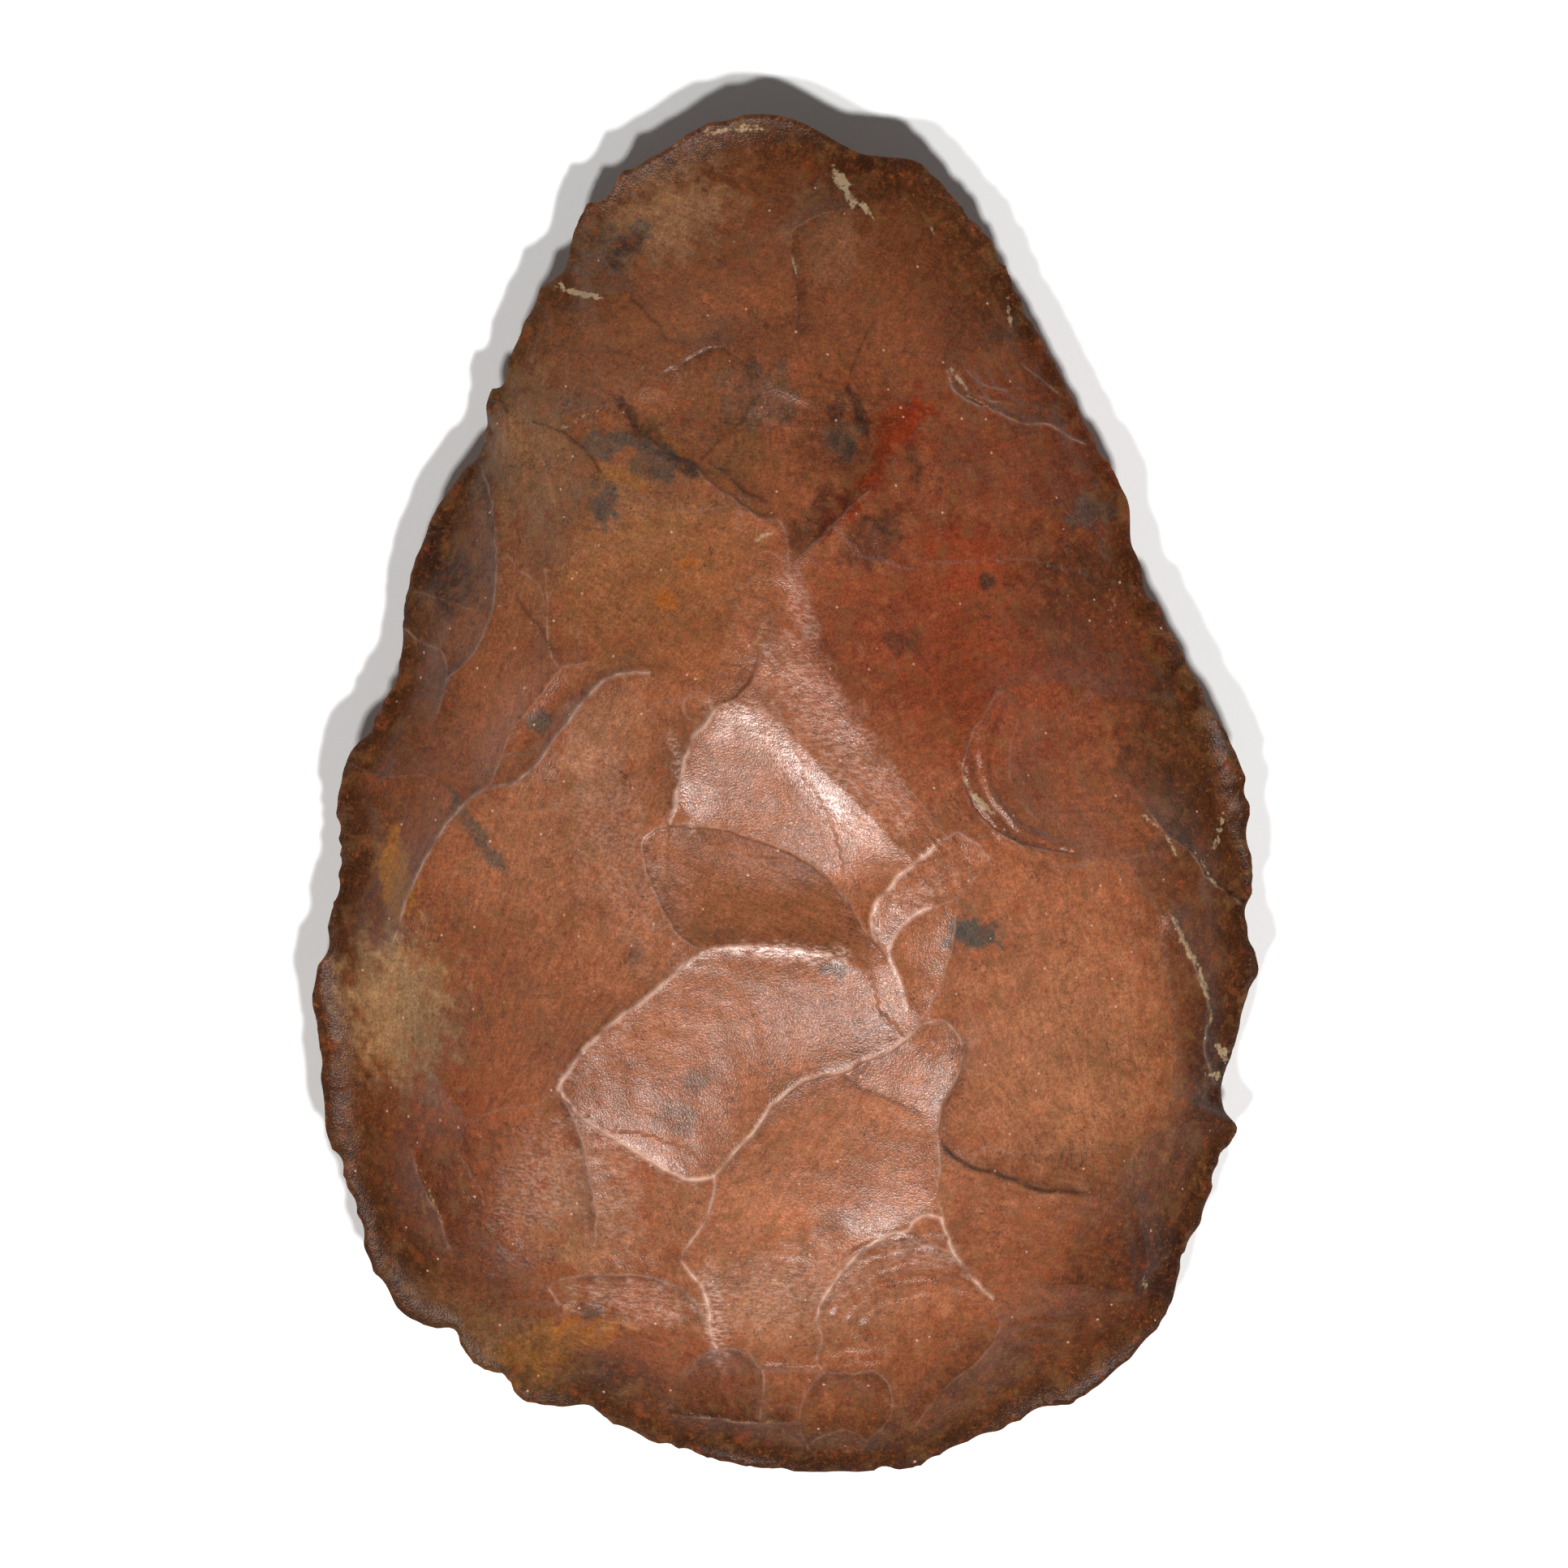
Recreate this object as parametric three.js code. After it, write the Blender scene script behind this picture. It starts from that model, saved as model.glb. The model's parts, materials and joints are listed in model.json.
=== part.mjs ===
import * as THREE from 'three';

// A knapped hand axe lying on its plainer face, tip towards +Y, seen face at +Z.
// Lengths are millimetres; plan positions below are hundredths of the length from the middle.

const LENGTH = 150;         // butt to tip
const WIDTH = 104.4;        // across the widest part, near the butt
const UPPER_RISE = 25.5;    // edge plane up to the uncut crown
const LOWER_BULGE = 18.5;   // edge plane down to the uncut belly
const REST_DROP = 15.5;     // edge plane down to the flat the stone lies on
const EDGE_WAVE = 1.5;      // how far the edge winds up and down
const EDGE_KEEP = 4.0;      // scars get shallower where the stone is thinner than this

const UNIT = LENGTH / 100;
const HEART = [0, -8];      // plan middle of the thick part
const SHORT_REACH = 34;     // from there to the edge at the sides
const FULL_TURN = 360;      // degrees; the outline's reach is measured once per degree
const EVEN_OUT = [12, 8];   // degrees either way over which the outline evens out further in

const CROWN_POWER = 2.0;    // 2 is a round dome, more is flatter on top
const BELLY_POWER = 2.2;
const RINGS = 22;           // rows of facets from the edge to the middle
const CURVE_STEPS = 12;     // fine steps between two outline points
const RIM_STEPS = 2;        // facets along the edge between two outline points
const SNAP = 0.5;           // share of a facet a corner may slide to lie on a ridge

// Outline, counter-clockwise from the right flank: bends, cusps and notches of the edge.
const OUTLINE = [
  [34.1, -2.0], [33.9, 0.8], [32.6, 3.9], [31.3, 6.4], [29.8, 8.9], [27.4, 13.8], [25.6, 18.0],
  [25.1, 21.6], [23.2, 25.4], [20.8, 29.6], [19.4, 32.4], [17.2, 36.5], [15.6, 40.0], [12.9, 43.2],
  [9.8, 46.5], [7.0, 46.9], [4.7, 47.5], [1.0, 49.5], [-1.4, 50.0], [-4.0, 49.9], [-6.5, 49.0],
  [-9.3, 47.2], [-13.0, 45.2], [-15.2, 42.6], [-16.4, 38.6], [-18.2, 37.2], [-19.9, 33.1],
  [-22.0, 28.9], [-22.4, 25.6], [-25.0, 22.2], [-26.8, 18.6], [-28.0, 14.4], [-28.6, 9.0],
  [-30.6, 4.9], [-32.3, 2.4], [-33.1, -1.8], [-32.8, -4.6], [-33.3, -8.2], [-34.8, -14.4],
  [-34.3, -18.6], [-34.1, -22.2], [-33.6, -25.6], [-31.8, -30.2], [-30.6, -34.6], [-28.6, -37.8],
  [-26.4, -39.2], [-24.6, -39.6], [-22.9, -42.0], [-20.6, -43.0], [-19.3, -44.7], [-15.2, -45.4],
  [-10.9, -47.3], [-6.0, -48.9], [0.2, -49.9], [9.0, -49.7], [12.2, -48.2], [16.2, -46.7],
  [19.3, -45.2], [21.0, -45.0], [24.2, -42.6], [26.8, -40.1], [28.4, -37.4], [29.2, -34.2],
  [30.5, -31.6], [31.5, -28.6], [32.0, -26.6], [33.4, -24.8], [32.2, -23.2], [32.2, -20.9],
  [33.0, -18.6], [34.0, -14.6], [34.8, -12.8], [33.9, -9.8], [34.3, -6.6],
];

// Flake scars of the seen face: [x, y, half length, half width, turn in degrees, depth].
const UPPER_SCARS = [
  [-4.4, -19.0, 15.0, 8.0, 14, 2.1],     // almond below the crown
  [-1.4, -8.6, 11.6, 5.2, -31, 1.75],    // pointed oval on the crown
  [-3.0, 1.5, 10.5, 6.4, 112, 1.3],      // pale facet above it
  [3.4, 4.6, 13.5, 4.4, 119, 1.15],      // rolled shoulder beside the facet
  [13.0, 9.0, 14.5, 11.0, 30, 2.5],      // wide right hollow
  [17.0, 22.0, 13.0, 9.0, 20, 2.3],
  [22.5, 1.6, 10.6, 6.8, -5, 2.9],       // rippled scar on the right flank
  [10.6, -6.2, 5.0, 2.9, 25, 1.0],
  [10.0, -12.5, 5.0, 2.5, 84, 1.0],      // sliver at the point of the oval
  [20.0, -16.0, 13.6, 10.2, -72, 2.9],   // large scar low on the right
  [19.5, -32.0, 10.5, 6.5, -10, 2.1],
  [3.2, -29.0, 14.0, 8.9, 48, 2.7],      // broad scar rising from the butt
  [9.0, -39.5, 7.4, 7.4, 270, 2.1],
  [-10.7, -30.5, 8.0, 5.6, 290, 1.5],
  [-19.2, -29.5, 8.8, 5.6, 285, 1.7],
  [-10.7, -39.2, 7.0, 4.4, 345, 1.6],
  [-30.0, -28.0, 9.5, 6.5, 250, 1.8],
  [-25.0, -32.5, 7.5, 5.0, 250, 1.7],
  [-23.0, -38.5, 8.0, 6.0, 225, 2.0],
  [-13.5, -44.6, 7.0, 4.6, 160, 1.8],
  [-4.7, -44.4, 3.5, 3.6, 270, 1.7],
  [4.4, -46.0, 3.7, 4.0, 270, 1.7],
  [14.0, -45.0, 8.5, 6.2, 300, 2.0],
  [21.5, -40.0, 7.5, 6.8, 315, 2.0],
  [28.0, -31.0, 7.0, 5.0, 70, 1.8],
  [32.0, -14.0, 8.0, 4.2, 92, 1.8],
  [31.0, -3.5, 5.0, 3.8, 60, 1.8],
  [-18.0, -7.5, 19.0, 10.4, 67, 2.9],    // large left hollow
  [-31.0, -16.0, 7.5, 5.2, 95, 1.8],
  [-31.0, -4.6, 7.8, 4.8, 78, 1.8],
  [-29.0, 4.8, 6.0, 4.8, 150, 1.8],
  [-26.5, 10.8, 4.2, 3.2, 95, 1.5],
  [-24.5, 18.5, 6.4, 3.4, 75, 1.7],
  [-18.6, 4.9, 5.6, 2.0, 58, 1.4],
  [-9.8, 14.5, 10.5, 8.0, 150, 2.3],
  [-20.0, 11.5, 9.0, 5.4, 75, 2.0],
  [-18.0, 23.5, 7.0, 5.4, 100, 2.0],
  [-15.5, 33.0, 9.5, 6.4, 160, 2.1],
  [-7.7, 41.4, 10.0, 7.0, 150, 2.1],     // left of the tip
  [-2.0, 48.5, 7.0, 3.0, 0, 1.5],
  [8.5, 39.5, 11.0, 9.0, 60, 2.3],       // right of the tip
  [17.5, 30.4, 6.0, 3.6, 10, 2.2],
  [0.3, 27.0, 9.2, 8.6, 100, 2.1],
  [-10.0, 25.5, 6.0, 4.0, 150, 1.7],
  [6.5, 18.0, 5.0, 4.0, 40, 1.3],
];

// Scars of the resting face: long ones struck in from all round, short ones along the edge.
const UNDER_SCARS = [
  ...scarRow(9, 0.6, 13.5, 9.0, 2.4, 12),
  ...scarRow(19, 0.93, 6.2, 4.6, 1.7, 4),
];

function scarRow(count, out, long, wide, depth, start) {
  const row = [];
  for (let i = 0; i < count; i += 1) {
    const uneven = Math.sin(2.4 * i + 1) * 0.16;
    const turn = start + (FULL_TURN * (i + uneven)) / count;
    const [x, y] = placeAlong(turn, out * (1 + 0.3 * uneven));
    row.push([x, y, long * (1 + uneven), wide * (1 - uneven / 2), turn, depth * (1 + uneven)]);
  }
  return row;
}

function placeAlong(turnDegrees, share) {
  const turn = THREE.MathUtils.degToRad(turnDegrees);
  const away = share * SHORT_REACH * (1 + 0.35 * Math.max(0, Math.sin(turn)));
  return [HEART[0] + away * Math.cos(turn), HEART[1] + away * Math.sin(turn)];
}

// Smooth closed line through the outline points.
function smoothLoop(points, steps) {
  const loop = [];
  const count = points.length;
  for (let i = 0; i < count; i += 1) {
    const [a, b, c, d] = [-1, 0, 1, 2].map((k) => points[(i + k + count) % count]);
    for (let step = 0; step < steps; step += 1) {
      const t = step / steps;
      loop.push([0, 1].map((k) => THREE.MathUtils.lerp(b[k], c[k], t)
        + 0.5 * t * (1 - t) * ((1 - t) * (c[k] - a[k] - 2 * (c[k] - b[k]))
        - t * (d[k] - b[k] - 2 * (c[k] - b[k])))));
    }
  }
  return loop;
}

const EDGE_LINE = smoothLoop(OUTLINE, CURVE_STEPS);

function polar([x, y]) {
  return [Math.atan2(y - HEART[1], x - HEART[0]), Math.hypot(x - HEART[0], y - HEART[1])];
}

// How far the edge lies from the middle in each direction, one value per degree.
function measureReach() {
  const line = EDGE_LINE.map(polar).sort((p, q) => p[0] - q[0]);
  const reach = [];
  for (let degree = 0; degree < FULL_TURN; degree += 1) {
    const turn = THREE.MathUtils.degToRad(degree - FULL_TURN / 2);
    const after = line.findIndex((p) => p[0] >= turn);
    const high = line[after < 0 ? 0 : after];
    const low = line[(after <= 0 ? line.length : after) - 1];
    const span = THREE.MathUtils.euclideanModulo(high[0] - low[0], 2 * Math.PI) || 1;
    const part = THREE.MathUtils.euclideanModulo(turn - low[0], 2 * Math.PI) / span;
    reach.push(THREE.MathUtils.lerp(low[1], high[1], part));
  }
  return reach;
}

function soften(reach, half) {
  return reach.map((_, i) => {
    let sum = 0;
    for (let k = -half; k <= half; k += 1) sum += reach[(i + k + FULL_TURN) % FULL_TURN];
    return sum / (2 * half + 1);
  });
}

const REACH = measureReach();
const SOFT_REACH = EVEN_OUT.reduce(soften, REACH);

function lookUp(table, turn) {
  const place = THREE.MathUtils.euclideanModulo(THREE.MathUtils.radToDeg(turn) + FULL_TURN / 2, FULL_TURN);
  const low = Math.floor(place) % FULL_TURN;
  return THREE.MathUtils.lerp(table[low], table[(low + 1) % FULL_TURN], place - Math.floor(place));
}

// Reach at a ring: the true edge outside, evened out further in.
function ringReach(turn, share) {
  return THREE.MathUtils.lerp(lookUp(SOFT_REACH, turn), lookUp(REACH, turn), share ** 10);
}

function shareOf(x, y) {
  const [turn, away] = polar([x, y]);
  let share = away / lookUp(REACH, turn);
  for (let pass = 0; pass < 3; pass += 1) share = Math.min(1, away / ringReach(turn, share));
  return share;
}

function bowl([sx, sy, long, wide, turnDegrees, depth], x, y) {
  const turn = THREE.MathUtils.degToRad(turnDegrees);
  const along = ((x - sx) * Math.cos(turn) + (y - sy) * Math.sin(turn)) / long;
  const across = ((y - sy) * Math.cos(turn) - (x - sx) * Math.sin(turn)) / wide;
  return depth * (1 - along * along - across * across);
}

// Height over the edge plane, and how far this spot is from changing to the next surface.
function carve(face, x, y) {
  const dome = (face.rise / UNIT) * (1 - shareOf(x, y) ** face.power);
  const keep = dome / (dome + EDGE_KEEP);
  const tops = [dome, face.flat / UNIT];
  for (const scar of face.scars) tops.push(dome - keep * bowl(scar, x, y));
  tops.sort((a, b) => a - b);
  return { height: tops[0], spare: tops[1] - tops[0] };
}

const UPPER = { rise: UPPER_RISE, power: CROWN_POWER, flat: Infinity, scars: UPPER_SCARS };
const LOWER = { rise: LOWER_BULGE, power: BELLY_POWER, flat: REST_DROP, scars: UNDER_SCARS };

// Slide a corner on to the ridge beside it, if the ridge is near enough.
function slideToRidge(face, x, y, reachable) {
  const here = carve(face, x, y).spare;
  const tiny = 0.02;
  const slopeX = (carve(face, x + tiny, y).spare - here) / tiny;
  const slopeY = (carve(face, x, y + tiny).spare - here) / tiny;
  const slope = Math.hypot(slopeX, slopeY);
  const move = here / Math.max(slope, 1e-6);
  if (move > reachable) return [x, y];
  return [x - (slopeX / slope) * move, y - (slopeY / slope) * move];
}

function edgeHeight(turn) {
  const wave = Math.sin(2 * turn + 0.6) * 0.6 + Math.sin(5 * turn) * 0.3 + Math.sin(9 * turn + 2) * 0.2;
  return EDGE_WAVE * wave;
}

function place(face, side, x, y) {
  const [turn] = polar([x, y]);
  const lift = edgeHeight(turn) * shareOf(x, y) ** 6;
  const { height } = carve(face, x, y);
  const z = side > 0 ? lift + height * UNIT : Math.max(lift - height * UNIT, -face.flat);
  return new THREE.Vector3(x * STRETCH_X, y * STRETCH_Y, REST_DROP + z);
}

const RIM = smoothLoop(OUTLINE, RIM_STEPS);
const span = (k) => Math.max(...RIM.map((p) => p[k])) - Math.min(...RIM.map((p) => p[k]));
const STRETCH_X = WIDTH / span(0);
const STRETCH_Y = LENGTH / span(1);

// One face as rows of corners from the edge inwards; the edge row is shared by both faces.
function faceRows(face, side) {
  const start = polar(RIM[0])[0];
  const rows = [RIM.map(([x, y]) => {
    const [turn] = polar([x, y]);
    const corner = new THREE.Vector3(x * STRETCH_X, y * STRETCH_Y, REST_DROP + edgeHeight(turn));
    return { turn: THREE.MathUtils.euclideanModulo(turn - start, 2 * Math.PI), corner };
  })];
  for (let ring = 1; ring < RINGS; ring += 1) {
    const share = 1 - ring / RINGS;
    const count = Math.max(8, Math.round(RIM.length * share));
    const row = [];
    for (let i = 0; i < count; i += 1) {
      const turn = (2 * Math.PI * i) / count;
      const away = share * ringReach(turn + start, share);
      const x = HEART[0] + away * Math.cos(turn + start);
      const y = HEART[1] + away * Math.sin(turn + start);
      const reachable = ring < 3 ? 0 : SNAP * (SHORT_REACH / RINGS);
      row.push({ turn, corner: place(face, side, ...slideToRidge(face, x, y, reachable)) });
    }
    rows.push(row);
  }
  rows.push([{ turn: 0, corner: place(face, side, ...HEART) }]);
  return rows;
}

function misfit(face, side, a, b) {
  const middle = a.clone().lerp(b, 0.5);
  const onStone = place(face, side, middle.x / STRETCH_X, middle.y / STRETCH_Y);
  return a.distanceTo(b) + 4 * Math.abs(onStone.z - middle.z);
}

// Join two rows with triangles, each time taking the diagonal that lies closer to the stone.
function stitch(face, side, outer, inner, emit) {
  const at = (row, k) => row[k % row.length].corner;
  const turnAt = (row, k) => (k < row.length ? row[k].turn : 2 * Math.PI);
  const slack = (1.2 * 2 * Math.PI) / outer.length;
  const lastInner = inner.length === 1 ? 0 : inner.length;
  let [i, j] = [0, 0];
  while (i < outer.length || j < lastInner) {
    const [a, b, c, d] = [at(outer, i), at(inner, j), at(outer, i + 1), at(inner, j + 1)];
    const lead = turnAt(outer, i + 1) - turnAt(inner, j + 1);
    let goOuter = misfit(face, side, c, b) < misfit(face, side, a, d);
    if (j >= lastInner || lead < -slack) goOuter = true;
    else if (i >= outer.length || lead > slack) goOuter = false;
    if (goOuter) {
      emit(a, c, b);
      i += 1;
    } else {
      emit(a, d, b);
      j += 1;
    }
  }
}

function buildStone() {
  const corners = [];
  const numbers = new Map();
  const faces = [];
  const number = (corner) => {
    const key = corner.toArray().map((v) => v.toFixed(4)).join();
    if (!numbers.has(key)) {
      numbers.set(key, corners.length);
      corners.push(corner);
    }
    return numbers.get(key);
  };
  for (const [face, side] of [[UPPER, 1], [LOWER, -1]]) {
    const rows = faceRows(face, side);
    for (let k = 0; k + 1 < rows.length; k += 1) {
      stitch(face, side, rows[k], rows[k + 1], (a, b, c) => {
        const triangle = [a, b, c].map(number);
        if (side < 0) triangle.reverse();
        faces.push(...triangle);
      });
    }
  }
  const geometry = new THREE.BufferGeometry();
  const places = corners.flatMap((corner) => corner.toArray());
  geometry.setAttribute('position', new THREE.Float32BufferAttribute(places, 3));
  geometry.setIndex(faces);
  geometry.computeBoundingBox();
  const middle = geometry.boundingBox.getCenter(new THREE.Vector3());
  geometry.translate(-middle.x, -middle.y, -geometry.boundingBox.min.z);
  geometry.computeVertexNormals();
  return geometry;
}

const patinatedFlint = new THREE.MeshStandardMaterial({ color: 0x8a5238, roughness: 0.55, metalness: 0 });
patinatedFlint.name = 'patinated flint';

const handAxe = new THREE.Mesh(buildStone(), patinatedFlint);
handAxe.name = 'hand_axe';

const group = new THREE.Group();
group.name = 'stone_hand_axe';
group.add(handAxe);

export default group;
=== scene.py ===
import json
import math
from collections import namedtuple

import bpy
import numpy as np
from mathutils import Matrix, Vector
from mathutils.geometry import delaunay_2d_cdt

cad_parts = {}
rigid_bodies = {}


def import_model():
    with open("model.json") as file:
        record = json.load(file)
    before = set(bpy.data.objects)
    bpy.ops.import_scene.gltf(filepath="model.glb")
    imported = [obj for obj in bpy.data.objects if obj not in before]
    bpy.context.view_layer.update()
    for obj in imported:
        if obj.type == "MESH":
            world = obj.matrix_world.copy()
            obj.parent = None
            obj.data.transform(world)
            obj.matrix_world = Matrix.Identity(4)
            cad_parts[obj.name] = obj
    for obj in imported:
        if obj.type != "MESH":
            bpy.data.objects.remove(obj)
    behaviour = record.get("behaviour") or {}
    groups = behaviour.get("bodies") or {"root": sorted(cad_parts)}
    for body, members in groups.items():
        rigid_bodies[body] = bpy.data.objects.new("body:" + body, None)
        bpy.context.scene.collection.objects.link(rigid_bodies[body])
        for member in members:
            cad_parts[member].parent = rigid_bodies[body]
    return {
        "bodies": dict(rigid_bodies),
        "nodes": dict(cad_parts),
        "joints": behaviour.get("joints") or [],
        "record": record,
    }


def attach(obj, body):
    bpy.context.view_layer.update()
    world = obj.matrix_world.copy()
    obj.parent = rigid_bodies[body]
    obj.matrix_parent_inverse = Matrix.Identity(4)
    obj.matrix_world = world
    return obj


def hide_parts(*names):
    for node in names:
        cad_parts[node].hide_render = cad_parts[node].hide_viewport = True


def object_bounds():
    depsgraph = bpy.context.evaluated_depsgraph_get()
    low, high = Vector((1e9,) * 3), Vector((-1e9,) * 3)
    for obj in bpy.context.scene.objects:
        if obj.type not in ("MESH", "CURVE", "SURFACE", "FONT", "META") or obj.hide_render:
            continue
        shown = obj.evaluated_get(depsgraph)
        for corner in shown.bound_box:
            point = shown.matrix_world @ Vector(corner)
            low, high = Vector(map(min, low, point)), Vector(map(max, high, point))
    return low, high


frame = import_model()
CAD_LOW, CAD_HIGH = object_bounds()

bl_info = {
    "name": "Knapped hand axe",
    "version": (1, 0, 0),
    "blender": (4, 5, 0),
    "location": "View3D > Sidebar > Hand axe",
    "description": "A hand axe of patinated flint with its flake scars, ripples and worn ridges",
    "category": "Add Mesh",
}

# Plan positions and depths are hundredths of the stone's length, from its middle, tip towards +Y.
HEART = (0.0, -8.0)     # every flake was struck in towards this point
CROWN_POWER = 2.0       # how boxy the domes of the two faces are
BELLY_POWER = 2.2
EDGE_KEEP = 4.0         # scars get shallower where the stone is thinner than this
CURVE_STEPS = 12        # points that the outline's curve gets between two given ones
CAD_CURVE_STEPS = 2     # the same in the CAD solid, whose box the stone keeps
EDGE_WAVES = ((0.6, 2, 0.6), (0.3, 5, 0), (0.2, 9, 2))  # share, waves round the stone and phase
NO_FLAT = 1e9           # the seen face isn't cut off
SEEN_SEED = 5
UNDER_SEED = 40
RING_LEVEL = 0.6        # level between the crests and the troughs of a shock ring
LIP_TAPER = 0.12        # share of a broken lip over which it fades out at each end

# Scars of the resting face.
ROW_REACH = 34
ROW_LONGER = 0.35       # the rows reach that much further towards the tip
ROW_UNEVEN = 0.16
ROW_RIPPLE = 0.35

# Mesh: an even lattice of points, and rows of them along each ridge of the seen face.
LATTICE_X = (-36, 36)
LATTICE_Y = (-51, 51)
LATTICE_EDGE = 0.55     # spacings that the lattice keeps off the edge
LATTICE_GAP = 0.42      # what it keeps off the ridges of the seen face
LEAST_SHARP = 0.1       # on the underside its points slide on to ridges sharper than this
ROW_OFFSETS = (0.0, 0.12, -0.12, 0.3, -0.3)
ROW_CELL = 0.09         # a row has one point in a square of this size
ROW_EDGE_GAP = 0.3
ROW_CLEAR = 0.8         # share of its offset that a row keeps from any other ridge
ROW_SLACK = 0.001
RIM_COARSER = 1.1       # spacings of the rim and the underside, times that of the seen face
UNDER_COARSER = 2.2
ATTRIBUTES = {
    "patina": ("FLOAT_COLOR", "color"),
    "ridge_wear_and_highlight": ("FLOAT", "value"),
    "chalk": ("FLOAT", "value"),
    "dull": ("FLOAT", "value"),
    "polish_and_sheen": ("FLOAT", "value"),
    "struck": ("FLOAT_VECTOR", "vector"),
}

# Skin.
NOISE_SPAN = (0.3, 0.7)         # a noise texture hardly leaves these values
HACKLE_DRAW = (1.0, 0.12, 1.0)  # streaks are drawn out along the way the flake ran
FROST_AND_SHEEN_DRAW = (0.35, 1.0, 1.0)
SHOULDER_TURN = math.radians(51)
STAIN_RAGGED = 0.22             # how ragged the border of a stain is
BROAD_STAIN = 5                 # stains with a greater half length fade out more slowly
BROAD_BORDER = (1.35, 0.35)
SMALL_BORDER = (1.15, 0.7)
RIDGE_LINE_LEAST = 0.00009          # metres, half width of the pale line on a ridge: rubbed wear with a painted highlight
RIDGE_LINE_MORE = 0.00010
RIM_TONE = 0.8                  # tone of the rim's own points, darker as painted shade
NICK_SHADE = 0.18               # how much darker the nicks and the last strip to the edge are: painted shade
EDGE_SHADE = 0.3
HAIRLINE_HALF = 0.13
ROLL_FROST_AND_SHEEN = 0.72               # how strongly the painted highlight streak and frost cover the middle of the worn roll

# Clouds in the patina: size in mm, noise where they begin and where they are full, cover, colour.
CLOUDS = (
    (2.6, 0.50, 0.66, 0.55, "moss"),
    (1.9, 0.54, 0.68, 0.5, "rust"),
    (0.55, 0.55, 0.70, 0.55, "orange"),
    (0.8, 0.56, 0.72, 0.6, "dark"),
    (0.45, 0.60, 0.74, 0.2, "dun_and_sheen"),
)

# Outline, counter-clockwise from the right flank: bends, cusps and notches of the edge.
OUTLINE = [
    (34.1, -2.0), (33.9, 0.8), (32.6, 3.9), (31.3, 6.4), (29.8, 8.9), (27.4, 13.8), (25.6, 18.0),
    (25.1, 21.6), (23.2, 25.4), (20.8, 29.6), (19.4, 32.4), (17.2, 36.5), (15.6, 40.0), (12.9, 43.2),
    (9.8, 46.5), (7.0, 46.9), (4.7, 47.5), (1.0, 49.5), (-1.4, 50.0), (-4.0, 49.9), (-6.5, 49.0),
    (-9.3, 47.2), (-13.0, 45.2), (-15.2, 42.6), (-16.4, 38.6), (-18.2, 37.2), (-19.9, 33.1),
    (-22.0, 28.9), (-22.4, 25.6), (-25.0, 22.2), (-26.8, 18.6), (-28.0, 14.4), (-28.6, 9.0),
    (-30.6, 4.9), (-32.3, 2.4), (-33.1, -1.8), (-32.8, -4.6), (-33.3, -8.2), (-34.8, -14.4),
    (-34.3, -18.6), (-34.1, -22.2), (-33.6, -25.6), (-31.8, -30.2), (-30.6, -34.6), (-28.6, -37.8),
    (-26.4, -39.2), (-24.6, -39.6), (-22.9, -42.0), (-20.6, -43.0), (-19.3, -44.7), (-15.2, -45.4),
    (-10.9, -47.3), (-6.0, -48.9), (0.2, -49.9), (9.0, -49.7), (12.2, -48.2), (16.2, -46.7),
    (19.3, -45.2), (21.0, -45.0), (24.2, -42.6), (26.8, -40.1), (28.4, -37.4), (29.2, -34.2),
    (30.5, -31.6), (31.5, -28.6), (32.0, -26.6), (33.4, -24.8), (32.2, -23.2), (32.2, -20.9),
    (33.0, -18.6), (34.0, -14.6), (34.8, -12.8), (33.9, -9.8), (34.3, -6.6),
]

# A flake scar: middle, half length, half width, turn in degrees and depth; ripple is how strongly
# its shock rings show and tone a factor on the brightness of its colour.
Scar = namedtuple("Scar", "x y long wide turn depth ripple tone", defaults=(0.25, 1.0))

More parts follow.
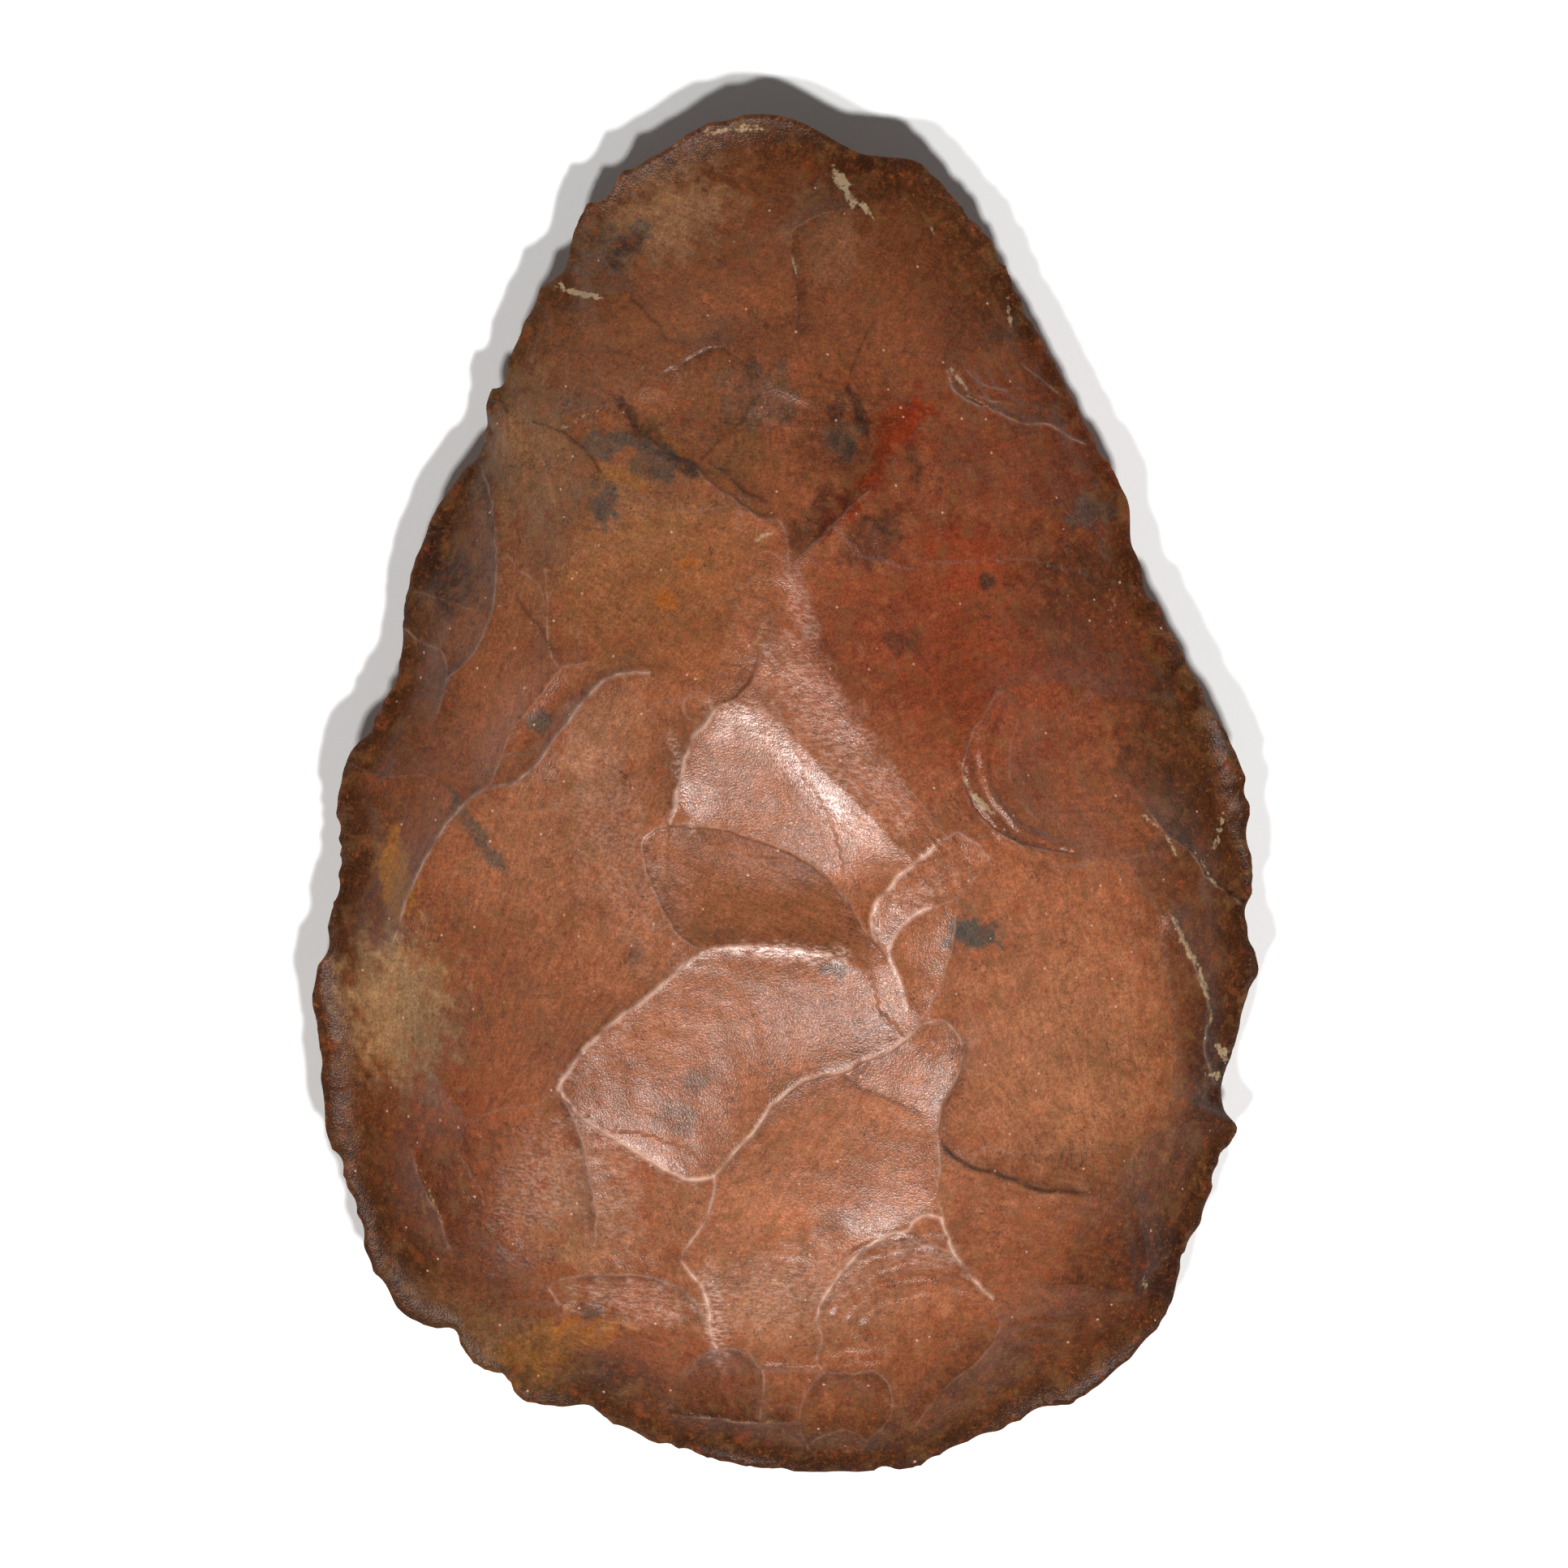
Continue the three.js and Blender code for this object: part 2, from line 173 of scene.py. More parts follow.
UPPER_SCARS = [
    Scar(-4.4, -19.0, 15.0, 8.0, 14, 2.4, 0.15, 0.88),          # almond below the crown
    Scar(-1.4, -7.4, 9.6, 3.9, -25, 1.5, 0.1, 0.76),            # pointed oval on the crown
    Scar(-3.0, 1.5, 10.5, 6.4, 112, 1.1, 0.0, 0.92),             # pale facet above it
    Scar(3.4, 4.6, 13.5, 4.4, 119, 0.9, 0.0, 1.04),             # rolled shoulder beside the facet
    Scar(13.0, 9.0, 14.5, 11.0, 30, 3.4, 0.1, 0.95),            # wide right hollow
    Scar(17.0, 22.0, 13.0, 9.0, 20, 2.3, 0.2, 0.84),
    Scar(22.5, 1.6, 10.6, 6.8, -5, 2.9, 0.5, 0.94),             # rippled scar on the right flank
    Scar(10.6, -6.2, 5.0, 2.9, 25, 0.6, 0.4, 1.06),
    Scar(10.0, -12.5, 5.0, 2.5, 84, 0.6, 0.1, 1.08),            # sliver at the point of the oval
    Scar(20.0, -16.0, 13.6, 10.2, -72, 3.4, 0.3, 1.08),         # large scar low on the right
    Scar(19.5, -32.0, 10.5, 6.5, -10, 2.1, 0.25, 0.88),
    Scar(3.2, -29.0, 14.0, 8.9, 48, 3.1, 0.15, 0.94),           # broad scar rising from the butt
    Scar(9.0, -39.5, 7.4, 7.4, 270, 2.1, 0.3, 0.98),
    Scar(-10.7, -30.5, 8.0, 5.6, 290, 1.5, 0.3, 1.0),
    Scar(-19.2, -29.5, 8.8, 5.6, 285, 1.7, 0.3, 0.96),
    Scar(-10.7, -39.2, 7.0, 4.4, 345, 1.6, 0.3, 0.98),
    Scar(-30.0, -28.0, 9.5, 6.5, 250, 1.8, 0.25, 0.92),
    Scar(-25.0, -32.5, 7.5, 5.0, 250, 1.7, 0.25, 0.85),
    Scar(-23.0, -38.5, 8.0, 6.0, 225, 2.0, 0.25, 0.9),
    Scar(-13.5, -44.6, 7.0, 4.6, 160, 1.8, 0.25, 0.85),
    Scar(-4.7, -44.4, 3.5, 3.6, 270, 1.9, 0.3, 0.78),
    Scar(0.0, -44.4, 3.0, 2.8, 270, 1.4, 0.5, 0.92),
    Scar(4.4, -46.0, 3.7, 4.0, 270, 1.9, 0.3, 0.86),
    Scar(14.0, -45.0, 8.5, 6.2, 300, 2.0, 0.25, 0.9),
    Scar(21.5, -40.0, 7.5, 6.8, 315, 2.0, 0.25, 0.88),
    Scar(28.0, -31.0, 7.0, 5.0, 70, 1.8, 0.3, 0.85),
    Scar(32.0, -14.0, 8.0, 4.2, 92, 1.8, 0.5, 0.75),
    Scar(31.0, -3.5, 5.0, 3.8, 60, 1.8, 0.5, 0.85),
    Scar(-18.0, -7.5, 19.0, 10.4, 67, 3.5, 0.15, 0.96),         # large left hollow
    Scar(-31.0, -16.0, 7.5, 5.2, 95, 1.8),
    Scar(-31.0, -4.6, 7.8, 4.8, 78, 1.8, 0.25, 0.85),
    Scar(-29.0, 4.8, 6.0, 4.8, 150, 1.8, 0.25, 0.85),
    Scar(-26.5, 10.8, 4.2, 3.2, 95, 1.5, 0.4, 0.9),
    Scar(-24.5, 18.5, 6.4, 3.4, 75, 1.7, 0.4, 0.8),
    Scar(-18.6, 4.9, 5.6, 2.0, 58, 1.4, 0.3),
    Scar(-9.8, 14.5, 10.5, 8.0, 150, 2.3, 0.2, 1.0),
    Scar(-20.0, 11.5, 9.0, 5.4, 75, 2.0, 0.25, 0.96),
    Scar(-18.0, 23.5, 7.0, 5.4, 100, 2.0),
    Scar(-15.5, 33.0, 9.5, 6.4, 160, 2.1, 0.4),
    Scar(-7.7, 41.4, 10.0, 7.0, 150, 2.1, 0.25, 1.12),          # left of the tip
    Scar(8.5, 39.5, 11.0, 9.0, 60, 2.3, 0.25, 0.88),            # right of the tip
    Scar(17.5, 30.4, 6.0, 3.6, 10, 2.2, 0.4, 0.85),
    Scar(0.3, 27.0, 9.2, 8.6, 100, 2.1, 0.25, 0.80),
    Scar(-10.0, 25.5, 6.0, 4.0, 150, 1.7, 0.25, 0.9),
    Scar(-3.1, 10.8, 4.2, 1.5, 66, 0.7, 0.1, 0.9),              # small ones along the middle ridge
]

# Courses that a ridge and the broken lip along it share.
OVAL_TOP = [(-8.4, -2.2), (-7.0, -2.3), (-4.5, -2.6), (-1.5, -3.5), (1.2, -4.7), (3.2, -6.3)]
OVAL_POINT = [(3.2, -6.3), (4.7, -8.2), (5.8, -10.0), (7.3, -11.8)]
OVAL_LEFT = [(-8.4, -2.2), (-9.6, -2.7), (-10.4, -3.6), (-10.2, -5.4), (-9.5, -7.2), (-8.6, -9.1),
             (-7.4, -10.6), (-6.1, -11.4)]
FACET_LEFT = [(-8.4, -2.2), (-8.0, -0.2), (-7.4, 2.2), (-6.6, 4.2), (-5.9, 5.0), (-5.0, 6.3)]
ALMOND_TOP = [(-6.1, -11.4), (-7.5, -12.5), (-10.2, -14.9), (-12.0, -16.2), (-14.0, -17.9),
              (-15.3, -19.4), (-16.6, -21.5)]
ALMOND_LOW = [(-16.6, -21.5), (-15.0, -23.4), (-13.0, -24.8), (-10.5, -26.3), (-8.6, -27.4),
              (-6.8, -28.1), (-5.2, -27.9)]
ALMOND_RIGHT = [(-5.2, -27.9), (-4.0, -26.4), (-2.4, -24.6), (-1.2, -22.9), (0.8, -21.1), (2.4, -20.5),
                (4.2, -20.1), (5.6, -19.3), (7.2, -18.8), (8.8, -17.7), (9.6, -16.8)]
SLIVER_LOW = [(12.6, -17.8), (12.8, -19.2), (12.1, -21.2), (11.2, -23.2), (11.0, -25.0)]
RIGHT_CRACK = [(11.0, -25.0), (11.8, -26.1), (13.2, -27.1), (15.0, -27.7), (16.6, -28.2), (18.4, -29.0),
               (20.2, -29.1), (22.4, -29.5)]
BUTT_ARCH = [(2.2, -38.4), (2.8, -36.8), (4.4, -34.5), (5.8, -33.2), (7.4, -32.2), (8.8, -31.9)]
LEFT_STRIP = [(-16.6, -21.5), (-15.6, -23.4), (-14.8, -25.6), (-14.4, -28.0), (-13.9, -30.4),
              (-14.0, -32.6)]
LEFT_HOLLOW = [(-28.9, -11.2), (-27.9, -8.0), (-26.7, -5.3), (-25.3, -2.9), (-23.6, -0.8), (-21.8, 0.4),
               (-19.8, 0.7)]
LEFT_HOLLOW_TOP = [(-19.8, 0.7), (-18.2, 2.1), (-16.6, 4.4), (-14.8, 6.7), (-13.2, 8.3), (-11.6, 8.8)]
LEFT_UPPER = [(-22.6, 24.4), (-21.8, 22.0), (-21.4, 19.0), (-21.3, 16.0), (-21.6, 13.2), (-23.0, 10.2),
              (-24.9, 8.4)]
TIP_SPUR = [(-9.8, 30.4), (-7.6, 31.7), (-5.4, 32.8), (-3.4, 32.0), (-1.4, 30.2)]
TIP_RIDGE = [(3.6, 42.9), (2.0, 42.3), (0.4, 41.0), (0.5, 38.0), (0.8, 35.2), (0.2, 32.4)]
TIP_SHELL = [(11.8, 31.0), (12.4, 29.5), (13.8, 28.6), (15.6, 28.0), (17.4, 27.2), (19.4, 27.1)]
MIDDLE_LEFT = [(-12.8, 28.4), (-11.0, 26.6), (-9.0, 25.0), (-6.6, 23.8)]
MIDDLE_LOW = [(-6.6, 23.8), (-5.6, 22.6), (-3.8, 21.4), (-2.2, 20.3), (-0.4, 19.7)]
MIDDLE_RIGHT = [(1.0, 17.2), (2.5, 18.6), (4.2, 20.4), (6.2, 22.2)]
RIGHT_SHELL = [(13.2, 3.4), (12.9, 1.2), (13.4, -0.7), (14.6, -2.2), (16.4, -3.4), (18.8, -4.1),
               (21.6, -4.6)]
CHIPS_TOP = [(26.6, -1.4), (28.2, -3.2), (29.8, -4.4), (31.0, -6.2), (33.4, -8.0)]
CHIPS_LOW = [(28.0, -8.6), (29.2, -10.8), (30.3, -13.4), (31.2, -16.0), (30.8, -18.6), (31.6, -21.4)]

# A line where two scars meet: how firmly it is held, how pale its line is from rubbing and a painted
# highlight, its course, and how far it lies under the uncut surface at its start and its end.
Crease = namedtuple("Crease", "firm pale line low", defaults=((0.0, 0.0),))

CREASES = [
    # round the pale facet and the pointed oval
    Crease(1.0, 1.0, FACET_LEFT + [(-4.3, 6.5)]),
    Crease(0.85, 0.2, [(-4.3, 6.5), (-3.3, 7.2), (-2.4, 8.6), (-1.7, 10.2), (-1.0, 12.0), (-1.1, 13.4)]),
    Crease(0.97, 0.45, OVAL_TOP, (0.9, 2.2)),
    Crease(0.97, 0.45, OVAL_POINT, (2.2, 0.7)),
    Crease(0.97, 0.4, OVAL_LEFT, (0.9, 0.0)),
    Crease(0.85, 0.9, [(-6.1, -11.4), (-4.6, -11.2), (-1.5, -11.1), (1.2, -11.4), (3.0, -11.7)]),
    Crease(0.5, 0.5, [(3.0, -11.7), (4.2, -12.1), (5.6, -12.9)]),
    # shoulder beside the facet, worn round
    Crease(0.7, 0.0, [(-2.9, 8.5), (-1.4, 6.4), (0.5, 4.2), (2.5, 2.0), (4.7, -0.3), (6.9, -2.5),
                      (9.0, -4.6)]),
    Crease(0.5, 0.1, [(0.9, 17.2), (1.7, 13.0), (2.7, 9.6), (4.6, 6.0), (7.0, 2.6), (9.6, -0.6),
                      (11.6, -2.8)]),
    Crease(0.9, 0.3, [(0.2, 15.7)] + MIDDLE_RIGHT),
    Crease(0.5, 0.1, [(6.2, 22.2), (7.8, 24.2), (9.0, 26.0), (11.0, 27.6)]),
    # almond
    Crease(1.0, 1.0, ALMOND_TOP),
    Crease(0.95, 1.0, ALMOND_LOW),
    Crease(1.0, 0.9, ALMOND_RIGHT),
    Crease(0.7, 0.9, [(7.3, -11.6), (8.0, -13.0), (8.5, -14.4), (8.8, -15.7)]),
    Crease(0.6, 0.3, [(8.8, -15.7), (9.6, -16.0), (9.6, -16.8)]),
    # between the oval's point and the right hand scars
    Crease(0.75, 1.0, [(7.3, -11.6), (6.4, -10.4), (6.2, -9.2), (6.6, -7.8), (7.6, -6.8), (8.4, -5.8),
                       (9.6, -4.9), (10.8, -3.9)]),
    Crease(0.8, 0.5, [(10.8, -3.9), (11.8, -3.1), (12.6, -2.9), (13.7, -3.6), (14.8, -4.7)]),
    Crease(0.6, 0.3, [(14.8, -4.7), (13.4, -6.6), (12.2, -7.7), (10.7, -8.2)]),
    Crease(0.7, 1.0, [(10.7, -8.2), (9.4, -8.7), (8.3, -9.7), (7.6, -11.0), (7.3, -11.6)]),
    Crease(0.7, 0.4, [(12.3, -8.6), (12.2, -10.5), (11.7, -12.3), (11.1, -14.2), (10.2, -15.8),
                      (9.6, -16.8)]),
    Crease(0.85, 0.5, [(9.6, -16.8), (11.4, -16.5)] + SLIVER_LOW),
    Crease(0.7, 0.5, [(11.0, -25.0), (11.2, -27.0), (11.0, -29.0), (11.4, -30.8)]),
    Crease(0.8, 0.1, RIGHT_CRACK),
    Crease(0.4, 0.15, [(28.4, -20.4), (28.0, -23.0), (26.6, -25.2), (24.8, -27.4), (23.0, -29.3)]),
    # round the rippled scars of the butt
    Crease(0.95, 0.9, BUTT_ARCH + [(9.4, -31.2), (10.3, -30.7), (11.3, -31.0)]),
    Crease(0.95, 0.9, [(11.3, -31.0), (11.8, -32.4), (12.4, -33.8), (13.4, -35.2), (15.0, -36.9)]),
    Crease(0.8, 0.6, [(8.8, -31.9), (9.8, -33.0), (11.0, -33.2), (12.2, -33.5)]),
    Crease(0.5, 0.1, [(15.0, -36.0), (18.0, -36.0), (22.0, -36.3), (26.0, -37.0)]),
    Crease(0.6, 0.25, [(15.0, -36.9), (15.7, -39.2), (14.2, -41.6), (11.6, -43.8), (9.6, -46.5)]),
    Crease(0.7, 0.5, [(2.2, -38.4), (2.6, -40.0), (2.2, -41.4), (2.8, -42.4)]),
    Crease(0.85, 0.25, [(2.8, -42.4), (4.8, -42.6), (6.6, -42.4), (7.6, -43.6), (7.8, -45.2), (7.2, -46.6),
                       (6.0, -47.6)]),
    Crease(0.8, 0.25, [(6.0, -47.6), (4.4, -46.9), (2.8, -47.3), (1.5, -48.0), (1.0, -46.4), (1.3, -44.4),
                      (2.8, -42.4)]),
    Crease(0.85, 0.35, [(-5.4, -40.8), (-4.0, -40.7), (-2.7, -41.2), (-1.8, -42.3), (-1.6, -43.8),
                       (-1.9, -45.8)]),
    Crease(0.7, 0.15, [(-5.4, -40.8), (-7.0, -41.8), (-8.1, -43.4), (-8.4, -45.0)]),
    Crease(0.6, 0.2, [(-1.8, -42.3), (0.0, -42.0), (2.2, -42.2)]),
    Crease(0.6, 0.3, [(-8.2, -45.8), (-5.0, -46.1), (-2.0, -46.4), (0.8, -46.2)]),
    Crease(0.95, 0.6, [(-5.2, -27.9), (-5.3, -29.4), (-6.2, -31.6), (-7.6, -33.8), (-7.0, -35.0)]),
    Crease(0.95, 0.9, [(-7.0, -35.0), (-6.1, -36.2), (-5.6, -38.0), (-5.5, -39.8), (-5.0, -40.8)]),
    Crease(0.85, 0.45, LEFT_STRIP),
    Crease(0.5, 0.15, [(-16.6, -21.5), (-18.4, -22.7), (-20.6, -23.0), (-23.4, -24.2)]),
    Crease(0.8, 0.3, [(-17.4, -36.2), (-16.2, -35.5), (-13.8, -35.2), (-11.2, -35.2), (-8.8, -35.7),
                       (-7.0, -36.8), (-5.8, -39.0)]),
    Crease(0.7, 0.5, [(-17.4, -36.2), (-16.6, -37.4), (-15.0, -38.2)]),
    Crease(0.6, 0.1, [(-15.0, -38.2), (-13.4, -39.2), (-10.6, -39.5), (-7.6, -40.0), (-5.4, -40.8)]),
    Crease(0.5, 0.1, [(-20.6, -33.2), (-18.8, -34.6), (-17.4, -36.2)]),
    Crease(0.45, 0.0, [(-13.4, -39.2), (-13.0, -42.0), (-14.2, -45.4)]),
    Crease(0.45, 0.0, [(-16.6, -37.4), (-18.4, -40.0), (-20.2, -43.0)]),
    # left side
    Crease(0.85, 0.6, LEFT_HOLLOW),
    Crease(0.95, 0.7, LEFT_HOLLOW_TOP + [(-10.0, 8.8)]),
    Crease(0.45, 0.1, [(-10.0, 8.8), (-8.2, 8.4), (-6.6, 7.6), (-5.2, 6.9)]),
    Crease(0.9, 0.4, [(-21.8, 0.4), (-21.0, 2.2), (-20.0, 4.6), (-18.6, 6.4), (-17.3, 8.0), (-16.4, 9.1),
                      (-14.8, 9.5)]),
    Crease(0.5, 0.4, [(-17.6, 16.4), (-17.4, 13.6), (-17.4, 11.2), (-16.8, 9.4)]),
    Crease(0.45, 0.1, [(-28.9, -11.2), (-30.6, -10.0), (-32.6, -9.4)]),
    Crease(0.4, 0.0, [(-26.0, -20.4), (-24.4, -22.6), (-23.4, -24.2), (-24.4, -27.5), (-23.4, -31.0),
                      (-20.6, -33.2)]),
    Crease(0.5, 0.35, [(-27.5, -26.4), (-26.7, -28.8), (-25.6, -31.0), (-24.8, -33.2)]),
    Crease(0.6, 0.2, [(-32.2, 2.2), (-29.6, 1.2), (-26.8, 1.4), (-25.0, 0.4), (-23.9, -0.9)]),
    Crease(0.6, 0.3, [(-28.6, 12.6), (-27.0, 11.2), (-25.3, 10.4), (-24.9, 8.4), (-25.6, 6.0)]),
    Crease(0.55, 0.2, [(-28.0, 15.0), (-25.6, 14.4), (-23.4, 13.6), (-21.6, 13.2)]),
    Crease(0.7, 0.3, LEFT_UPPER),
    # towards the tip
    Crease(0.55, 0.2, [(-22.2, 29.2), (-20.0, 28.3), (-18.3, 27.0), (-16.6, 27.5), (-14.9, 28.3),
                       (-12.8, 28.4)]),
    Crease(0.5, 0.1, MIDDLE_LEFT),
    Crease(0.85, 0.4, MIDDLE_LOW + [(0.1, 18.4), (0.2, 15.7)]),
    Crease(0.7, 0.2, [(-2.8, 15.2), (-2.1, 16.1), (-0.8, 16.2), (0.2, 15.7)]),
    Crease(0.5, 0.1, [(-1.1, 13.4), (-2.2, 14.3), (-3.2, 14.4), (-4.1, 12.4), (-4.7, 10.2), (-5.3, 8.2),
                       (-5.0, 7.0), (-4.3, 6.5)]),
    Crease(0.35, 0.0, [(-15.8, 17.6), (-15.0, 21.6), (-13.2, 22.6), (-10.0, 22.8), (-6.6, 23.8)]),
    Crease(0.35, 0.0, [(-22.6, 24.4), (-19.4, 22.4), (-17.0, 19.6), (-15.8, 17.6), (-17.6, 16.4)]),
    Crease(0.6, 0.15, [(-17.0, 37.8), (-15.6, 36.9), (-13.4, 36.8), (-11.6, 37.0)]),
    Crease(0.5, 0.1, [(-14.6, 36.6), (-12.8, 34.0), (-11.2, 31.8)] + TIP_SPUR),
    Crease(0.45, 0.05, [(-9.8, 30.4), (-11.2, 29.2), (-12.8, 28.4)]),
    Crease(0.85, 0.15, TIP_RIDGE + [(-1.4, 30.2)]),
    Crease(0.4, 0.0, [(3.6, 42.9), (6.0, 44.2), (8.4, 46.8)]),
    Crease(0.4, 0.0, [(-1.4, 30.2), (1.6, 29.0), (5.0, 29.4), (8.0, 28.6), (11.0, 27.6)]),
    Crease(0.5, 0.4, [(12.6, 30.6), (13.4, 29.6), (14.8, 28.9), (16.6, 28.6)]),
    Crease(0.4, 0.3, [(13.4, 31.0), (14.2, 30.2), (15.4, 29.8), (16.6, 29.6)]),
    Crease(0.75, 0.5, TIP_SHELL + [(21.8, 25.8)]),
    Crease(0.5, 0.0, [(11.8, 31.0), (13.6, 32.6), (16.0, 33.6), (18.8, 33.2)]),
    Crease(0.4, 0.0, [(25.2, 20.6), (21.0, 20.8), (16.6, 21.6), (12.6, 23.4), (9.6, 25.4)]),
    Crease(0.85, 0.3, [(15.4, 7.4), (14.2, 5.4)] + RIGHT_SHELL),
    Crease(0.5, 0.1, [(21.6, -4.6), (24.6, -4.7), (27.4, -4.2)]),
    Crease(0.4, 0.0, [(15.4, 7.4), (19.0, 8.1), (24.0, 7.2), (30.6, 6.6)]),
    Crease(0.6, 0.3, CHIPS_TOP),
    Crease(0.7, 0.4, CHIPS_LOW),
    Crease(0.45, 0.1, [(31.8, -24.4), (29.4, -24.2), (27.2, -25.2)]),
    Crease(0.5, 0.1, [(24.4, -27.8), (25.8, -30.6), (26.6, -33.6), (26.6, -36.6)]),
    Crease(0.25, -0.35, [(16.0, 6.6), (15.2, 4.8), (14.8, 2.6), (15.0, 0.6), (15.9, -1.0), (17.2, -2.2),
                         (19.0, -3.1)]),
    Crease(0.2, 0.25, [(16.9, 5.2), (16.3, 3.2), (16.3, 1.4), (16.9, -0.4), (18.2, -1.8)]),
    # hairline cracks
    Crease(0.2, -0.5, [(4.2, -20.6), (5.4, -21.4), (6.8, -21.9), (8.4, -22.6), (9.6, -23.2)]),
    Crease(0.3, -0.6, [(-18.6, 27.3), (-17.0, 26.8), (-15.6, 26.0), (-14.6, 25.0), (-13.8, 23.8)]),
    Crease(0.3, -0.5, [(-6.0, 24.6), (-4.6, 26.0), (-3.2, 27.2), (-2.4, 28.8)]),
    Crease(0.3, -0.5, [(-5.4, 24.0), (-4.4, 23.4), (-3.2, 22.2), (-1.6, 21.4)]),
    Crease(0.2, 0.35, [(-20.4, 17.4), (-19.4, 16.2), (-18.4, 15.6), (-17.8, 14.6)]),
    Crease(0.2, -0.5, [(-19.6, 14.2), (-18.8, 13.0), (-18.0, 12.2), (-17.2, 10.6)]),
    Crease(0.2, -0.5, [(-11.4, 36.4), (-9.6, 34.6), (-8.8, 33.4), (-7.0, 32.8)]),
    Crease(0.2, -0.4, [(6.4, 34.6), (5.0, 31.6), (4.6, 29.4), (5.4, 27.2)]),
    Crease(0.2, 0.3, [(17.6, 31.4), (19.0, 30.4), (20.0, 29.6)]),
    Crease(0.3, 0.35, [(-6.4, 5.2), (-7.2, 5.6), (-7.4, 6.8), (-6.4, 7.4), (-5.4, 7.0)]),
    Crease(0.3, 0.3, [(-2.6, 16.4), (-2.4, 17.3), (-1.3, 17.6), (-0.2, 17.0)]),
]

# A broken lip along a ridge: how far the ground drops on the left hand of the line and how fast it
# rises back, the line, and how dark the painted shadow in the crack at its foot is.
Step = namedtuple("Step", "drop reach line crack", defaults=(0.0,))
STEPS = [
    Step(0.35, 2.2, LEFT_STRIP[::-1]),
    Step(0.30, 2.2, [(-25.6, 6.0)] + LEFT_UPPER[::-1]),
    Step(0.35, 1.8, CHIPS_LOW),
    Step(0.30, 1.8, CHIPS_TOP),
    Step(0.35, 2.2, TIP_RIDGE),
    Step(0.25, 2.0, TIP_SPUR[::-1], 0.1),
    Step(0.28, 2.0, MIDDLE_LEFT + MIDDLE_LOW[1:], 0.1),
    Step(0.42, 2.4, OVAL_POINT[::-1] + OVAL_TOP[-2::-1] + OVAL_LEFT[1:]),
    Step(0.55, 3.2, RIGHT_CRACK, 0.8),
    Step(0.75, 2.4, ALMOND_RIGHT[::-1]),
    Step(0.45, 2.0, ALMOND_LOW[::-1]),
    Step(0.40, 2.2, ALMOND_TOP[::-1]),
    Step(0.35, 1.8, FACET_LEFT + [(-3.3, 7.2), (-2.4, 8.6), (-1.7, 10.2)]),
    Step(0.25, 1.8, LEFT_HOLLOW + LEFT_HOLLOW_TOP[1:] + [(-8.2, 8.4)]),
    Step(0.45, 1.6, RIGHT_SHELL),
    Step(0.65, 2.4, [(15.0, -36.9), (13.4, -35.2), (12.4, -33.8), (11.0, -33.2)] + BUTT_ARCH[::-1]),
    Step(0.40, 1.3, SLIVER_LOW),
    Step(0.60, 1.8, [(-1.8, -43.8), (-1.8, -42.3), (-2.7, -41.2), (-4.0, -40.7), (-5.4, -40.8),
                     (-8.1, -43.4)]),
    Step(0.45, 1.4, [(-9.6, -46.9), (-8.2, -45.8), (-5.0, -46.1), (-2.0, -46.4), (0.8, -46.2)]),
    Step(0.60, 1.8, [(7.8, -45.2), (7.6, -43.6), (6.6, -42.4), (4.8, -42.6), (2.8, -42.4), (1.3, -44.4)]),
    Step(0.55, 1.8, [(-5.8, -39.0), (-7.0, -36.8), (-8.8, -35.7), (-11.2, -35.2), (-13.8, -35.2),
                     (-16.2, -35.5)]),
    Step(0.35, 1.6, TIP_SHELL),
    Step(0.30, 1.6, MIDDLE_RIGHT),
]

# Shock ripples round a point: middle, inner and outer distance, start and end direction, pitch, height.
Wave = namedtuple("Wave", "x y inner outer start end pitch height")
WAVES = [
    Wave(9.6, -41.6, 3.6, 10.2, 45, 165, 1.15, 0.24),
    Wave(21.4, 3.4, 6.2, 9.8, 150, 285, 1.2, 0.32),
    Wave(14.0, -21.0, 3.0, 15.0, 270, 350, 1.9, 0.07),
    Wave(2.0, -19.0, 13.0, 22.0, 245, 285, 0.9, 0.03),
    Wave(-16.0, -19.0, 3.0, 13.0, 270, 315, 1.2, 0.07),
    Wave(-11.4, -45.4, 4.4, 10.2, 40, 140, 1.1, 0.17),
    Wave(4.5, -45.4, 1.2, 3.2, -60, 200, 0.85, 0.26),
    Wave(0.1, -49.0, 2.0, 8.0, 60, 120, 1.0, 0.24),
    Wave(5.6, -46.0, 3.6, 6.6, 60, 130, 1.0, 0.20),
    Wave(18.4, 32.6, 2.2, 6.4, 190, 290, 1.05, 0.30),
    Wave(34.6, -2.6, 1.4, 4.2, 120, 240, 0.9, 0.26),
    Wave(14.0, -1.0, 2.6, 6.0, 200, 270, 0.6, 0.08),
    Wave(-18.0, -44.0, 3.0, 8.4, 70, 130, 1.15, 0.20),
    Wave(18.6, -46.0, 3.4, 8.6, 60, 120, 1.2, 0.20),
    Wave(-29.5, 20.0, 2.4, 6.6, -50, 30, 1.1, 0.18),
    Wave(-30.6, 8.4, 1.6, 5.0, -60, 40, 0.95, 0.18),
    Wave(-12.5, 46.0, 3.0, 12.0, 230, 290, 1.6, 0.05),
    Wave(-20.6, -20.0, 3.0, 12.0, 250, 300, 1.5, 0.05),
]

# Worn roll along the shoulder of the crown that catches the lamps: its course, half width and rise.
ROLL = [(-4.4, 7.2), (-2.5, 5.4), (-0.5, 3.4), (1.6, 1.2), (3.8, -1.1), (6.0, -3.3), (8.3, -5.3)]
ROLL_HALF = 1.0
ROLL_RISE = 0.12


